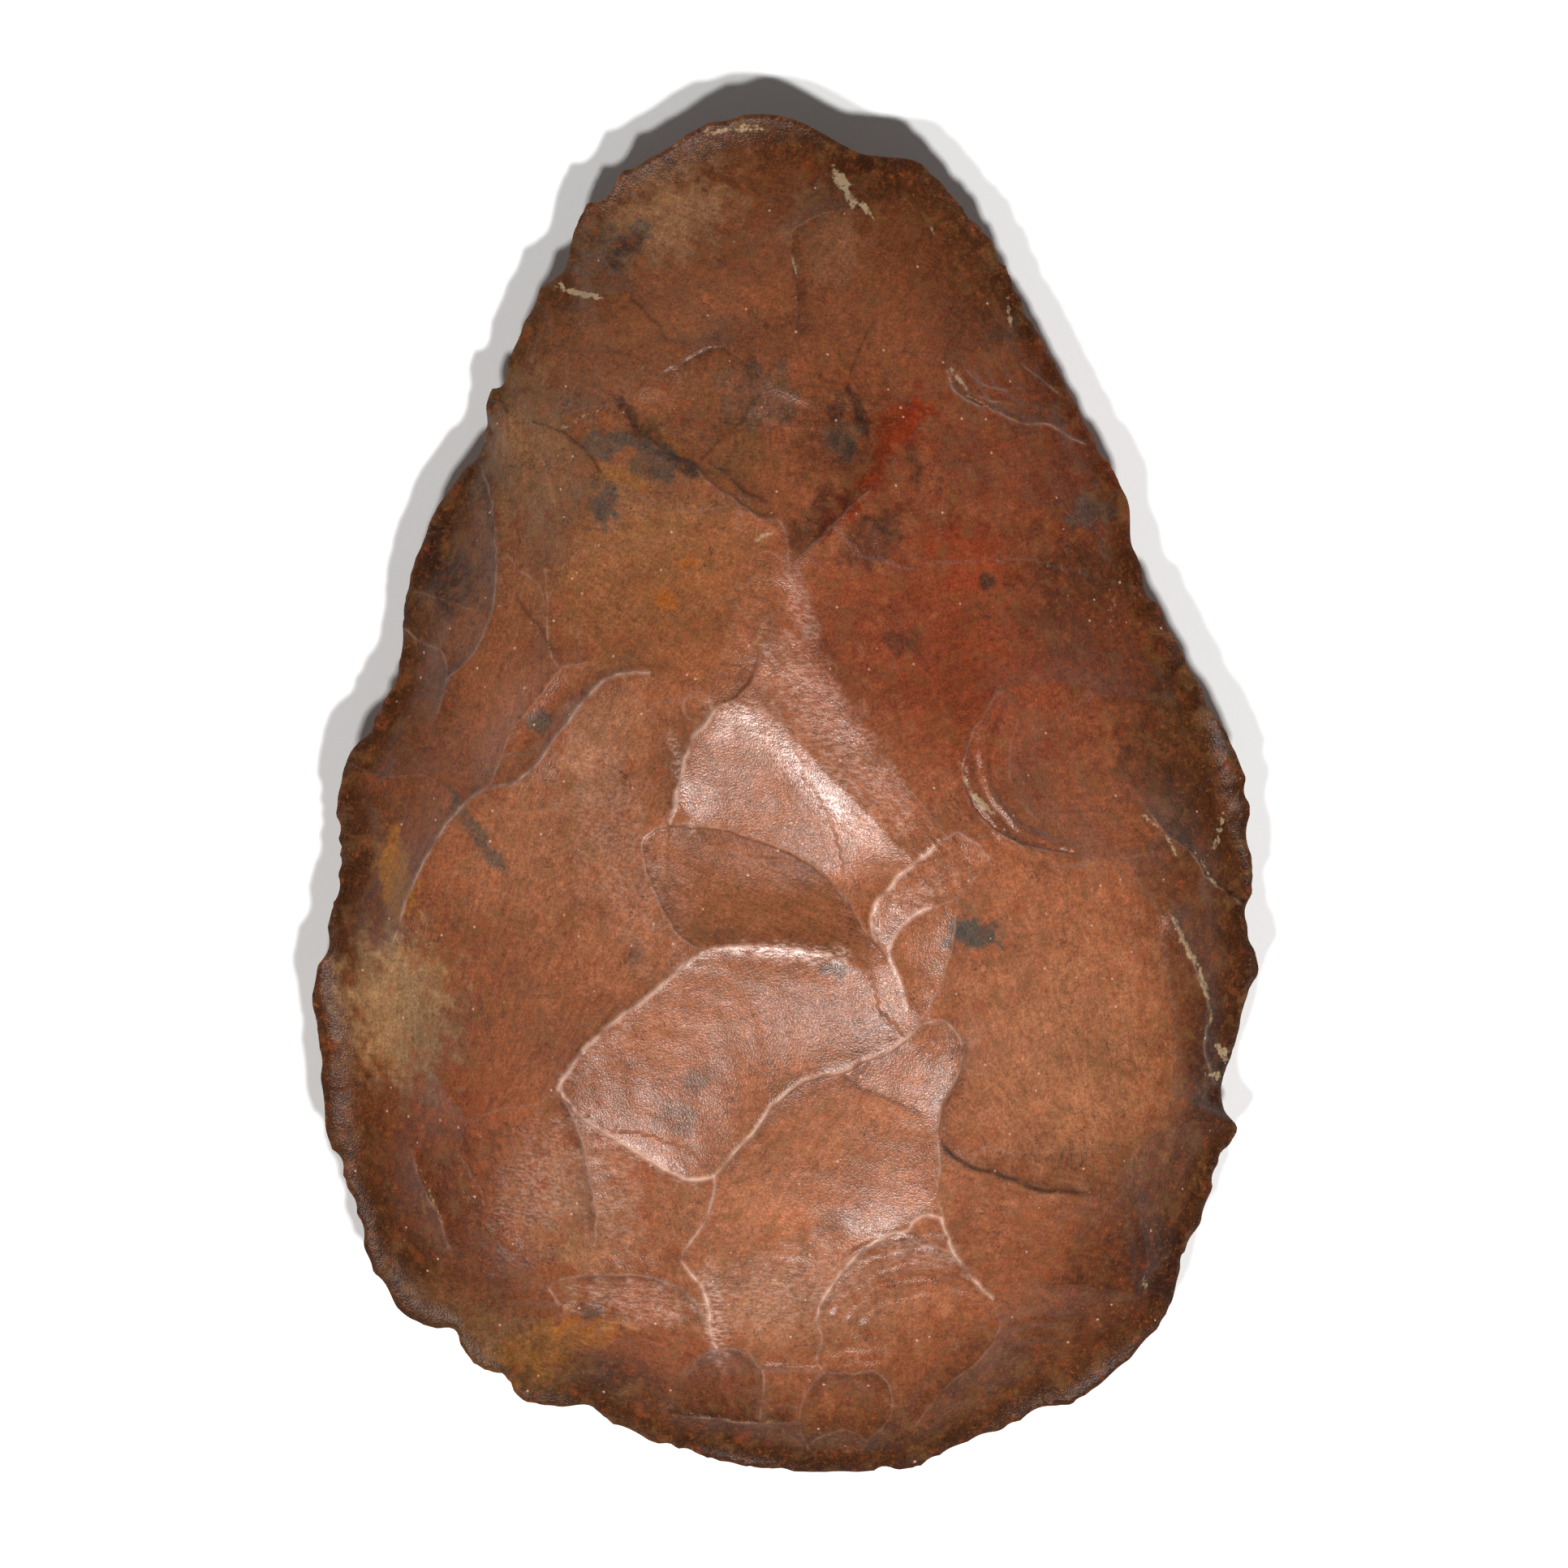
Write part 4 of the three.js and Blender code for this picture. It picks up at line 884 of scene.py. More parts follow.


# Stains and mineral patches in the patina: middle, half length, half width, turn, strength, colour.
# Rim-coloured ones are partly painted shade, and dun ones partly a painted sheen.
Stain = namedtuple("Stain", "x y long wide turn strength colour")
STAINS = [
    Stain(13, 12, 17, 13, 30, 0.75, "red"),
    Stain(8, 25, 6, 5, 0, 0.5, "red"),
    Stain(20, 25, 9, 10, 60, 0.45, "red"),
    Stain(11, 9, 9, 7, -30, 0.28, "crimson"),
    Stain(8.4, 27.0, 3.0, 1.5, 48, 0.8, "crimson"),
    Stain(5.0, 21.6, 3.6, 1.0, 48, 0.8, "crimson"),
    Stain(4.2, 26, 4, 5, 0, 0.4, "rim"),
    Stain(13.5, 17.2, 3.6, 2.4, -35, 0.35, "crimson"),
    Stain(-27.5, -22, 3.6, 9, 8, 0.5, "orange"),
    Stain(-27, -31, 5, 8, 25, 0.7, "rim"),
    Stain(-29, -22, 4, 3.5, 0, 0.6, "rim"),
    Stain(23, -37, 3.6, 3, 0, 0.35, "rim"),
    Stain(29.5, 4, 5.4, 9, 12, 0.85, "rim"),
    Stain(27.0, 12, 3.4, 8, 20, 0.4, "rim"),
    Stain(25.5, -32, 4.5, 7.5, -24, 0.4, "rim"),
    Stain(16, -41.5, 8, 3.2, 22, 0.35, "rim"),
    Stain(27.5, -9, 3, 7, 0, 0.45, "rim"),
    Stain(22.5, 13, 7, 4.5, -50, 0.6, "rim"),
    Stain(-1, -36.5, 7.5, 3.6, 10, 0.6, "dun_and_sheen"),
    Stain(-19.5, -29, 3.6, 6.5, 26, 0.3, "dun_and_sheen"),
    Stain(-14.6, -31, 3.4, 5.5, 10, 0.45, "dun_and_sheen"),
    Stain(-21, -39.5, 6, 2.0, -32, 0.5, "dun_and_sheen"),
    Stain(-9, 42.2, 5.4, 3.2, 20, 0.75, "dun_and_sheen"),
    Stain(3, 41, 3, 4, 10, 0.3, "dun_and_sheen"),
    Stain(-13.5, 4, 3, 6, -20, 0.4, "dun_and_sheen"),
    Stain(-11, 17, 9, 7, 0, 0.55, "moss"),
    Stain(-19, 25, 4, 6, 0, 0.4, "buff"),
    Stain(20, -20, 7.5, 9, 0, 0.35, "buff"),
    Stain(-17, -4, 8, 7, 20, 0.3, "dun_and_sheen"),
    Stain(-12, 19, 8, 9, 0, 0.3, "dun_and_sheen"),
    Stain(-4, -31, 6, 6, 0, 0.3, "dun_and_sheen"),
    Stain(25.2, 12.5, 5.2, 7.5, 24, 0.6, "rim"),
    Stain(23, 10, 5.2, 5.2, 0, 0.45, "red"),
    Stain(24, -35.5, 5.2, 5.2, 0, 0.35, "red"),
    Stain(26, -36.5, 5.2, 5.2, 0, 0.5, "rim"),
    Stain(-3.5, 25.0, 2.2, 3.2, 0, 0.5, "moss"),
    Stain(3, -38.8, 8, 2.4, 8, 0.35, "dun_and_sheen"),
    Stain(-8.8, 14.2, 1.0, 0.7, -30, 0.9, "orange"),
    Stain(0.6, -31.6, 3.6, 2.2, 30, 0.5, "orange"),
    Stain(-7.2, 16.8, 0.7, 0.5, 0, 0.7, "orange"),
    Stain(-12, 23.2, 2.6, 0.6, -25, 0.35, "ochre"),
    Stain(-8, 25.2, 1.6, 0.5, -40, 0.35, "ochre"),
    Stain(-3, -12, 17, 22, 20, 0.6, "tan"),
    Stain(4, -30, 16, 11, 40, 0.6, "tan"),
    Stain(20, -16, 9, 12, 0, 0.5, "tan"),
    Stain(0, 1, 8, 8, 0, 0.5, "tan"),
    Stain(-12, 33, 12, 14, 0, 0.45, "olive"),
    Stain(-22, 16, 9, 13, 0, 0.3, "olive"),
    Stain(-21.5, -40.5, 8.5, 3.6, -32, 0.5, "moss"),
    Stain(-24.5, -26, 5.2, 11, 14, 0.65, "red"),
    Stain(-24.5, -31, 5.2, 8.5, 30, 0.4, "rim"),
    Stain(-9, 14, 9, 7, 20, 0.2, "orange"),
    Stain(-7.5, -41.5, 5.2, 2.6, 0, 0.3, "red"),
    Stain(-17, -40.5, 5, 2, 20, 0.35, "ochre"),
    Stain(-28.7, -6, 1.3, 3.4, 10, 0.65, "ochre"),
    Stain(-26.6, -14, 6.5, 9, 5, 0.22, "rim"),
    Stain(-28.4, -15.8, 5.6, 4.2, 102, 0.85, "buff"),
    Stain(13.5, -10, 2.2, 1.3, -20, 1.0, "grey"),
    Stain(3.2, -12.7, 1.0, 0.7, 0, 0.7, "grey"),
    Stain(-6.5, -20.7, 1.3, 0.9, 30, 0.5, "grey"),
    Stain(-8, -23.8, 1.6, 1.2, 0, 0.4, "grey"),
    Stain(-18, 5.3, 1.2, 0.9, 40, 0.9, "grey"),
    Stain(-13.3, 21, 1.3, 1.5, 0, 0.9, "grey"),
    Stain(-11, -11.7, 1.0, 0.8, 0, 0.5, "grey"),
    Stain(-14.3, -38, 1.0, 0.7, 0, 0.7, "grey"),
    Stain(-22.5, -3, 3.6, 0.6, -56, 0.75, "grey"),
    Stain(-13.5, 40, 2.4, 1.8, 20, 0.6, "grey"),
    Stain(-11.2, 41.0, 2.0, 1.0, 30, 0.75, "grey"),
    Stain(-11.4, 40.6, 1.5, 0.8, 20, 0.65, "dark"),
    Stain(-12.6, 39.0, 0.8, 0.4, -30, 0.7, "dark"),
    Stain(-13.4, 25.4, 1.8, 1.3, 0, 0.8, "grey"),
    Stain(-10.4, 26.4, 2.2, 0.8, -50, 0.8, "dark"),
    Stain(-9.4, 24.4, 2.4, 1.4, -20, 0.75, "grey"),
    Stain(-7.4, 24.0, 1.4, 0.6, -40, 0.7, "dark"),
    Stain(-11.6, 28.2, 1.2, 0.5, -40, 0.7, "dark"),
    Stain(-2, 29, 3.0, 2.6, 0, 0.5, "grey"),
    Stain(3.8, 28.2, 0.6, 1.5, -20, 0.8, "dark"),
    Stain(4.2, 25.3, 0.7, 1.2, 10, 0.85, "dark"),
    Stain(5.6, 27.0, 0.5, 1.9, 10, 0.7, "dark"),
    Stain(3.9, 25.8, 1.4, 1.6, 0, 0.5, "grey"),
    Stain(9.4, 24.0, 0.5, 1.6, 10, 0.6, "dark"),
    Stain(2.5, 20.0, 2.4, 1.4, 40, 0.5, "dark"),
    Stain(7.4, 19.6, 1.6, 1.0, 0, 0.5, "dark"),
    Stain(22.5, 21, 1.8, 1.6, 0, 0.7, "grey"),
    Stain(-25, 17, 1.8, 4.0, 10, 0.7, "dark"),
    Stain(6, 18, 2.4, 1.8, 40, 0.5, "dark"),
    Stain(14.8, 15.5, 0.6, 0.6, 0, 0.9, "dark"),
    Stain(8.5, 11, 1.4, 1.0, 0, 0.5, "dark"),
    Stain(9.5, 11.5, 3.4, 2.4, -40, 0.2, "dark"),
    Stain(3.5, -31, 1.5, 1.0, 20, 0.35, "grey"),
    Stain(27, -34, 2.5, 4, 20, 0.6, "dark"),
    Stain(-14.5, -42, 5.5, 2.0, -20, 0.5, "dark"),
    Stain(31, -20, 1.8, 4, 0, 0.5, "dark"),
]

# Oval patches: middle, half length, half width, turn and strength.
Patch = namedtuple("Patch", "x y long wide turn strength")

# Places on the crown that rolling has frosted and polished, with a painted sheen of pale grains on their
# colour.
POLISH_AND_SHEEN = [
    Patch(-4.2, 2.6, 4.0, 2.2, -60, 0.1),
    Patch(-4.6, 5.4, 1.6, 1.0, -50, 0.35),
    Patch(0.6, -11.5, 4.2, 0.7, -3, 0.9),
    Patch(-13.4, -18.6, 4.6, 0.7, 42, 0.2),
    Patch(-11.6, -25.8, 5.4, 0.6, -30, 0.3),
    Patch(-18.0, -28.5, 6.0, 2.8, 62, 0.2),
    Patch(-12.0, -4.0, 3.0, 9.0, 20, 0.16),
    Patch(-11.0, -37.2, 5.0, 1.6, -8, 0.25),
    Patch(9.4, -7.6, 3.4, 1.2, 40, 0.3),
    Patch(1.0, 13.6, 3.4, 0.9, -70, 0.3),
    Patch(3.4, 4.3, 9.8, 2.5, -55, 0.3),
    Patch(9.0, -33.2, 3.6, 1.2, -20, 0.25),
    Patch(-12.6, -28.0, 2.0, 5.0, 15, 0.15),
    Patch(-5.2, -38.0, 0.8, 3.6, 4, 0.5),
    Patch(-7.6, 1.0, 0.5, 3.6, 12, 0.35),
    Patch(0.5, -36.0, 6.0, 3.0, 20, 0.2),
]

# Places on the crown where the skin is rough and hardly shines.
MATT = [
    Patch(-1.6, -6.9, 8.8, 3.7, -25, 1.0),
    Patch(4.0, 30.0, 9.0, 12.0, 0, 0.5),
    Patch(-1.2, -0.9, 6.4, 2.6, -42, 0.55),
    Patch(-3.0, -17.0, 9.5, 4.6, 10, 0.4),
    Patch(1.0, -27.0, 8.0, 5.0, 45, 0.3),
    Patch(6.6, -3.4, 3.0, 1.8, -45, 0.45),
    Patch(17.0, 12.0, 9.0, 14.0, 10, 0.35),
    Patch(-12.0, 20.0, 9.0, 8.0, 0, 0.4),
]

# Chalky remnants and fresh chips that show pale.
CHALK = [
    Patch(4.3, 44.8, 1.9, 0.34, -66, 1.0),
    Patch(5.2, 43.7, 1.5, 0.30, -48, 0.9),
    Patch(3.6, 45.6, 1.1, 0.20, -75, 0.7),
    Patch(-3.2, 49.0, 2.6, 0.35, 5, 0.7),
    Patch(-15.0, 36.8, 1.9, 0.26, -14, 0.95),
    Patch(-16.4, 37.4, 0.9, 0.16, -50, 0.8),
    Patch(0.6, 38.8, 1.3, 0.14, 100, 0.7),
    Patch(16.5, 35.3, 1.5, 0.18, 96, 0.8),
    Patch(12.8, 30.2, 1.4, 0.22, -52, 0.8),
    Patch(14.4, 28.6, 1.5, 0.14, -28, 0.6),
    Patch(10.8, 41.6, 0.8, 0.14, 110, 0.6),
    Patch(27.0, -2.2, 1.0, 0.16, -40, 0.8),
    Patch(28.3, -3.8, 1.2, 0.22, -58, 0.85),
    Patch(31.0, -5.8, 1.3, 0.20, -60, 0.8),
    Patch(28.6, -9.5, 1.2, 0.20, -64, 0.8),
    Patch(29.6, -11.6, 1.3, 0.26, -58, 0.85),
    Patch(30.7, -14.0, 1.5, 0.24, -74, 0.9),
    Patch(31.3, -16.6, 1.0, 0.16, -95, 0.7),
    Patch(32.2, -19.2, 1.0, 0.34, -60, 0.9),
    Patch(31.6, -20.8, 0.8, 0.28, -20, 0.9),
    Patch(32.0, -2.5, 1.9, 0.18, 78, 0.7),
    Patch(31.3, -4.0, 0.9, 0.14, 60, 0.6),
    Patch(26.5, -36.2, 1.2, 0.20, -80, 0.6),
    Patch(13.4, 0.3, 1.1, 0.16, -64, 0.8),
    Patch(14.5, -1.0, 1.4, 0.26, -46, 1.0),
    Patch(24.0, 13.5, 0.4, 2.0, 0, 0.35),
    Patch(-26.3, -29.0, 2.8, 0.12, -66, 0.55),
    Patch(-1.5, 18.8, 1.3, 0.20, 25, 0.8),
    Patch(-15.0, 27.5, 2.0, 0.18, 28, 0.55),
    Patch(6.0, 24.8, 0.6, 0.3, 60, 0.4),
    Patch(9.6, 26.8, 0.9, 0.14, -30, 0.4),
    Patch(-10.8, 30.8, 0.8, 0.14, 60, 0.5),
]


def ragged_ovals(ovals, x, y, ragged):
    """How far each point lies from the middle of each oval patch, 1 at its ragged border."""
    ragged = ragged * (swell(x, y, 2.4, 31) + 0.7 * swell(x, y, 0.9, 32) + 0.4 * swell(x, y, 0.5, 33))
    for oval in ovals:
        yield oval, np.hypot(*in_oval(oval, x, y)) + ragged


def strongest(least, patches, x, y, ragged, border):
    """The strongest patch at each point, or the least value where none is stronger."""
    for spot, out in ragged_ovals(patches, x, y, ragged):
        least = np.maximum(least, spot.strength * ease(out, *border))
    return least


def to_linear(hex_colour):
    """sRGB hex to the linear values that a shader takes."""
    channels = [int(hex_colour[k:k + 2], 16) / 255 for k in (1, 3, 5)]
    return [v / 12.92 if v <= 0.04045 else ((v + 0.055) / 1.055) ** 2.4 for v in channels]


def colour_property(name, description, hex_colour):
    return bpy.props.FloatVectorProperty(name=name, description=description, subtype="COLOR", size=3,
                                         min=0, max=1, default=to_linear(hex_colour))


def length_property(name, description, metres):
    return bpy.props.FloatProperty(name=name, description=description, subtype="DISTANCE",
                                   unit="LENGTH", default=metres)


def strength_property(name, description):
    return bpy.props.FloatProperty(name=name, description=description, subtype="FACTOR",
                                   default=1.0, min=0, max=2)


def power_property(name, description, watts):
    return bpy.props.FloatProperty(name=name, description=description, subtype="POWER",
                                   unit="POWER", default=watts)


class StoneShape(bpy.types.PropertyGroup):
    length: length_property("Length", "Butt to tip", CAD_HIGH.y - CAD_LOW.y)
    width: length_property("Width", "Across the widest part", CAD_HIGH.x - CAD_LOW.x)
    crown_rise: length_property("Crown rise", "Edge plane up to the uncut crown", 0.0255)
    belly_bulge: length_property("Belly bulge", "Edge plane down to the uncut belly", 0.0185)
    rest_drop: length_property("Rest drop", "Edge plane down to the flat the stone lies on", 0.0155)
    edge_wave: length_property("Edge wave", "How far the edge winds up and down", 0.0015)
    nibble: strength_property("Edge nibbling", "Strength of the small bites along the edge")
    ripple: strength_property("Ripples", "Strength of the shock rings in the scars")
    grain: length_property("Mesh spacing", "Spacing of the points on the seen face", 0.00045)


class PatinaColours(bpy.types.PropertyGroup):
    brown: colour_property("Brown", "Iron-stained body of the patina", "#85492c")
    tan: colour_property("Tan", "Paler patina on the worn middle", "#965c3e")
    # The rim colour is real dark patina on the edge, darkened further as painted shade where the light
    # falls off.
    rim: colour_property("Rim", "Dark patina along the edge", "#452612")
    red: colour_property("Red", "Redder iron stain", "#76361e")
    olive: colour_property("Olive", "Dull greenish-brown areas", "#6b452b")
    orange: colour_property("Orange", "Orange iron stain", "#a4571f")
    ochre: colour_property("Ochre", "Yellow iron stain", "#a86a1c")
    buff: colour_property("Buff", "Pale worn patch", "#92704c")
    grey: colour_property("Grey", "Grey flint showing through", "#4c4138")
    dark: colour_property("Dark", "Dark manganese stain", "#36211a")
    rust: colour_property("Rust", "Rusty clouds in the patina", "#883e20")
    moss: colour_property("Moss", "Yellowish-green brown of the patina", "#6e4b2a")
    # The dun colour is greyish skin, and in the stains on the left hollow and the butt partly a painted
    # sheen.
    dun_and_sheen: colour_property("Dun", "Greyish worn skin", "#8a664a")
    crimson: colour_property("Crimson", "Deep red iron stain", "#8a2a0c")
    # The frost colour paints the sheen and the highlight streak on the crown's pale grains.
    frost_and_sheen: colour_property("Frost", "Pale grains on the polished crown", "#dcb3a2")
    chalk: colour_property("Chalk", "Remnants of the chalky rind", "#a8906f")
    # The worn-ridge colour is partly a painted highlight along ridge crests; it also tints the pale specks.
    ridge: colour_property("Worn ridge", "Pale line on rubbed ridges", "#dcb09a")


class StageLook(bpy.types.PropertyGroup):
    floor: colour_property("Floor", "Plain pale floor", "#fbfbfa")
    main_power: power_property("Main lamp", "Power of the lamp on the butt's right side", 8.4)
    second_power: power_property("Second lamp", "Power of the lamp on the butt's left side", 5.2)
    sky: bpy.props.FloatProperty(
        name="Sky", description="Strength of the even light from all round", default=0.12, min=0)


def per_metre(millimetres):
    """Noise scale whose features are about that many millimetres."""
    return 1000.0 / millimetres


class Nodes:
    """A material's node tree: add puts in every node, and the rest name the common ones."""

    def __init__(self, name):
        self.material = bpy.data.materials.new(name)
        self.material.use_nodes = True
        self.tree = self.material.node_tree
        self.tree.nodes.clear()

    def add(self, kind, settings=None, **inputs):
        """A node with its settings and inputs: i0 is input number 0, Base_Color the named one."""
        node = self.tree.nodes.new(kind)
        for key, value in (settings or {}).items():
            setattr(node, key, value)
        for key, value in inputs.items():
            numbered = key[0] == "i" and key[1:].isdigit()
            socket = node.inputs[int(key[1:]) if numbered else key.replace("_", " ")]
            if isinstance(value, bpy.types.NodeSocket):
                self.tree.links.new(value, socket)
            else:
                socket.default_value = value
        return node

    def mark(self, name, output="Fac"):
        """What the mesh holds at each point under that name."""
        return self.add("ShaderNodeAttribute", {"attribute_name": name}).outputs[output]

    def noise(self, place, size, detail, roughness=0.5, distortion=0.0):
        """Noise whose features are about that many millimetres in size."""
        return self.add("ShaderNodeTexNoise", Vector=place, Scale=per_metre(size), Detail=detail,
                        Roughness=roughness, Distortion=distortion).outputs["Fac"]

    def span(self, value, low, high, to_low=0.0, to_high=1.0):
        """Low to high drawn out to run from to_low to to_high, and held beyond."""
        return self.add("ShaderNodeMapRange", Value=value, From_Min=low, From_Max=high,
                        To_Min=to_low, To_Max=to_high).outputs[0]

    def work(self, operation, *values, clamp=False):
        """Sum, product or another operation on values."""
        inputs = {f"i{number}": value for number, value in enumerate(values)}
        return self.add("ShaderNodeMath", {"operation": operation, "use_clamp": clamp}, **inputs).outputs[0]

    def over(self, cover, under, hue):
        """A plain colour laid over another one as thickly as the cover says."""
        return self.add("ShaderNodeMix", {"data_type": "RGBA"}, i0=cover, i6=under, i7=(*hue, 1)).outputs[2]

    def bump(self, height, metres, strength, **normal):
        return self.add("ShaderNodeBump", Strength=strength, Distance=metres, Height=height,
                        **normal).outputs[0]


def patinated_flint(colours):
    """Patinated flint, knapped and then rolled and rubbed: iron has stained the glassy stone brown,
    the skin has a fine sparkling grain and a waxy satin sheen, and ridges are rubbed pale; the pale
    ridge lines and the frosted crown also carry a painted highlight and sheen in the colour."""
    n = Nodes("Patinated flint")
    place = n.add("ShaderNodeTexCoord").outputs["Object"]
    patina, struck = n.mark("patina", "Color"), n.mark("struck", "Vector")
    ridge_wear_and_highlight, chalky, dull, polish_and_sheen = (n.mark(name) for name in ("ridge_wear_and_highlight", "chalk", "dull", "polish_and_sheen"))

    # Hackle streaks half a millimetre apart run the way each flake was struck off.
    drawn = n.add("ShaderNodeVectorMath", {"operation": "MULTIPLY"}, i0=struck, i1=HACKLE_DRAW).outputs[0]
    hackle = n.noise(drawn, 0.5, 3.0, 0.6)
    # Grains, mottles a millimetre across and blotches of 7 mm vary how pale the skin is.
    mottle = n.noise(place, 0.9, 4.0, 0.7)
    grains = n.span(n.noise(place, 0.3, 3.0, 0.75), *NOISE_SPAN, 0.6, 1.4)
    tone = n.work("MULTIPLY", grains, n.span(hackle, *NOISE_SPAN, 0.84, 1.16))
    tone = n.work("MULTIPLY", tone, n.span(mottle, *NOISE_SPAN, 0.74, 1.26))
    tone = n.work("MULTIPLY", n.span(n.noise(place, 7, 5.0, 0.62), *NOISE_SPAN, 0.77, 1.24), tone)
    skin = n.add("ShaderNodeVectorMath", {"operation": "SCALE"}, i0=patina, Scale=tone).outputs[0]

    # The stain soaked in unevenly: each cloud of colour is broken up into grains.
    for size, low, high, most, hue in CLOUDS:
        cloud = n.add("ShaderNodeTexNoise", {"noise_dimensions": "4D"}, Vector=place, W=size,
                      Scale=per_metre(size), Detail=5.0, Roughness=0.72, Distortion=0.4)
        skin = n.over(n.span(cloud.outputs["Fac"], low, high, 0.0, most), skin, getattr(colours, hue))
    # Dark hairline veins, where the two sides of a slow cloud meet, broken up into short runs.
    beside = n.work("ABSOLUTE", n.work("SUBTRACT", n.noise(place, 6, 6.0, 0.58, 0.5), 0.5))
    vein = n.span(beside, 0.0, 0.007, 0.8, 0.0)
    runs = n.span(n.noise(place, 5, 2.0), 0.52, 0.6)
    skin = n.over(n.work("MULTIPLY", vein, runs), skin, colours.dark)
    # Tiny pale specks about a quarter of a millimetre across, a few millimetres apart.
    specks = n.add("ShaderNodeTexVoronoi", Vector=place, Scale=per_metre(2.6), Randomness=1.0)
    skin = n.over(n.span(specks.outputs["Distance"], 0.045, 0.07, 0.55, 0.0), skin, colours.ridge)
    # Pale grains a quarter of a millimetre across frost the crown, thickest on the roll and drawn out
    # along the shoulder: partly real frosting from rolling, partly a painted sheen and highlight streak.
    drawn_place = n.add("ShaderNodeMapping", Vector=place, Rotation=(0, 0, SHOULDER_TURN),
                        Scale=FROST_AND_SHEEN_DRAW).outputs[0]
    frost_and_sheen = n.span(n.noise(drawn_place, 0.34, 3.0, 0.7), 0.47, 0.60, 0.05, 1.0)
    skin = n.over(n.work("MULTIPLY", polish_and_sheen, frost_and_sheen, clamp=True), skin, colours.frost_and_sheen)
    # Ridges carry an uneven pale line: rubbed wear, with a painted highlight along the crest.
    ridge_line_breakup = n.span(mottle, *NOISE_SPAN, 0.55, 1.1)
    skin = n.over(n.work("MULTIPLY", ridge_wear_and_highlight, ridge_line_breakup, clamp=True), skin, colours.ridge)
    # The rind is broken into crumbs about half a millimetre across, solid in the middle of a patch.
    crumbs = n.work("MULTIPLY_ADD", chalky, 0.42, n.noise(place, 0.5, 4.0, 0.7, 0.3))
    skin = n.over(n.span(crumbs, 0.70, 0.86, 0.0, 0.8), skin, colours.chalk)

    # Crystalline grain, about a fifth of a millimetre, gives the sheen its sparkle.
    grit = n.noise(place, 0.2, 1.0)
    gloss = n.work("MULTIPLY_ADD", chalky, 0.3, n.span(grit, 0.35, 0.65, 0.24, 0.42))
    relief = n.bump(mottle, 0.000015, 0.8)
    relief = n.bump(hackle, 0.000035, 1.0, Normal=relief)
    relief = n.bump(grit, 0.00006, 1.0, Normal=relief)
    sheen = n.work("MULTIPLY_ADD", polish_and_sheen, 0.6, n.span(dull, 0.0, 1.0, 0.36, 0.1))
    shader = n.add("ShaderNodeBsdfPrincipled", Base_Color=skin, Roughness=gloss, IOR=1.54,
                   Specular_IOR_Level=sheen, Normal=relief)
    n.add("ShaderNodeOutputMaterial", Surface=shader.outputs[0])
    return n.material


def matte_board(colours):
    """White laminated board: matte and even, so that it only catches the stone's soft shadow."""
    n = Nodes("White laminate board")
    place = n.add("ShaderNodeTexCoord").outputs["Object"]
    felt = n.bump(n.noise(place, 1.5, 2.0), 0.00002, 0.1)
    shader = n.add("ShaderNodeBsdfPrincipled", Base_Color=(*colours.floor, 1), Roughness=0.9, Normal=felt)
    n.add("ShaderNodeOutputMaterial", Surface=shader.outputs[0])
    return n.material


def patina_colour(colours, edge, x, y, tone):
    """Colour of the stained skin at each point: pale worn middle, dark rim that is partly painted shade,
    stains on top.
    """
    share = edge.share(x, y)
    base = np.array(colours.brown)[None] * np.ones((len(x), 1))
    # The rim layer darkens towards the edge: partly real dark patina, partly painted shade.
    layers = [("tan", 0.4 * ease(share, 0.85, 0.1)), ("rim", 0.95 * ease(share, 0.72, 1.02))]
    for stain, out in ragged_ovals(STAINS, x, y, STAIN_RAGGED):
        border = BROAD_BORDER if stain.long > BROAD_STAIN else SMALL_BORDER
        layers.append((stain.colour, stain.strength * ease(out, *border)))
    for name, cover in layers:
        cover = np.clip(cover, 0, 1)[:, None]
        base = base * (1 - cover) + np.array(getattr(colours, name))[None] * cover
    return base * tone[:, None]


def face_points(edge, face, step):
    """Points inside the outline on a fine even lattice, slid on to the ridges that they lie beside;
    on the seen face with rows of points along each ridge."""
    xs = np.arange(*LATTICE_X, step)
    ys = np.arange(*LATTICE_Y, step * math.sqrt(3) / 2)
    x, y = np.meshgrid(xs, ys)
    x[1::2] += step / 2
    x, y = x.ravel(), y.ravel()
    inside = edge.gap(x, y) > LATTICE_EDGE * step
    x, y = x[inside], y[inside]
    for _ in range(2):
        way, far, sharp, _ = face.ridge(x, y)
        near = (far < step / 2) & (sharp > LEAST_SHARP)
        x = np.where(near, x + way[:, 0], x)
        y = np.where(near, y + way[:, 1], y)
    if not isinstance(face, SeenFace):
        return np.column_stack([x, y])
    a, b = face.ridges.a, face.ridges.b
    ahead = (b - a) / np.hypot(*(b - a).T)[:, None]
    aside = np.stack([-ahead[:, 1], ahead[:, 0]], 1)
    far = face.ridge(x, y)[1]
    kept = [np.column_stack([x, y])[far > LATTICE_GAP]]
    for off in ROW_OFFSETS:
        row = np.concatenate([a, b]) + off * np.concatenate([aside, aside])
        row = row[np.unique(np.round(row / ROW_CELL), axis=0, return_index=True)[1]]
        clear = face.ridge(*row.T)[1] > ROW_CLEAR * abs(off) - ROW_SLACK
        kept.append(row[(edge.gap(*row.T) > ROW_EDGE_GAP) & clear])
    return np.concatenate(kept)


def face_triangles(rim, inner):
    """Triangles between the points of the rim, which come first, and those inside it."""
    points = [Vector(p) for p in np.concatenate([rim, inner])]
    ring = [(k, (k + 1) % len(rim)) for k in range(len(rim))]
    made = delaunay_2d_cdt(points, ring, [], 1, 1e-7)
    origin = np.array([o[0] for o in made[3]])
    return origin[np.array([f for f in made[2] if len(f) == 3])]


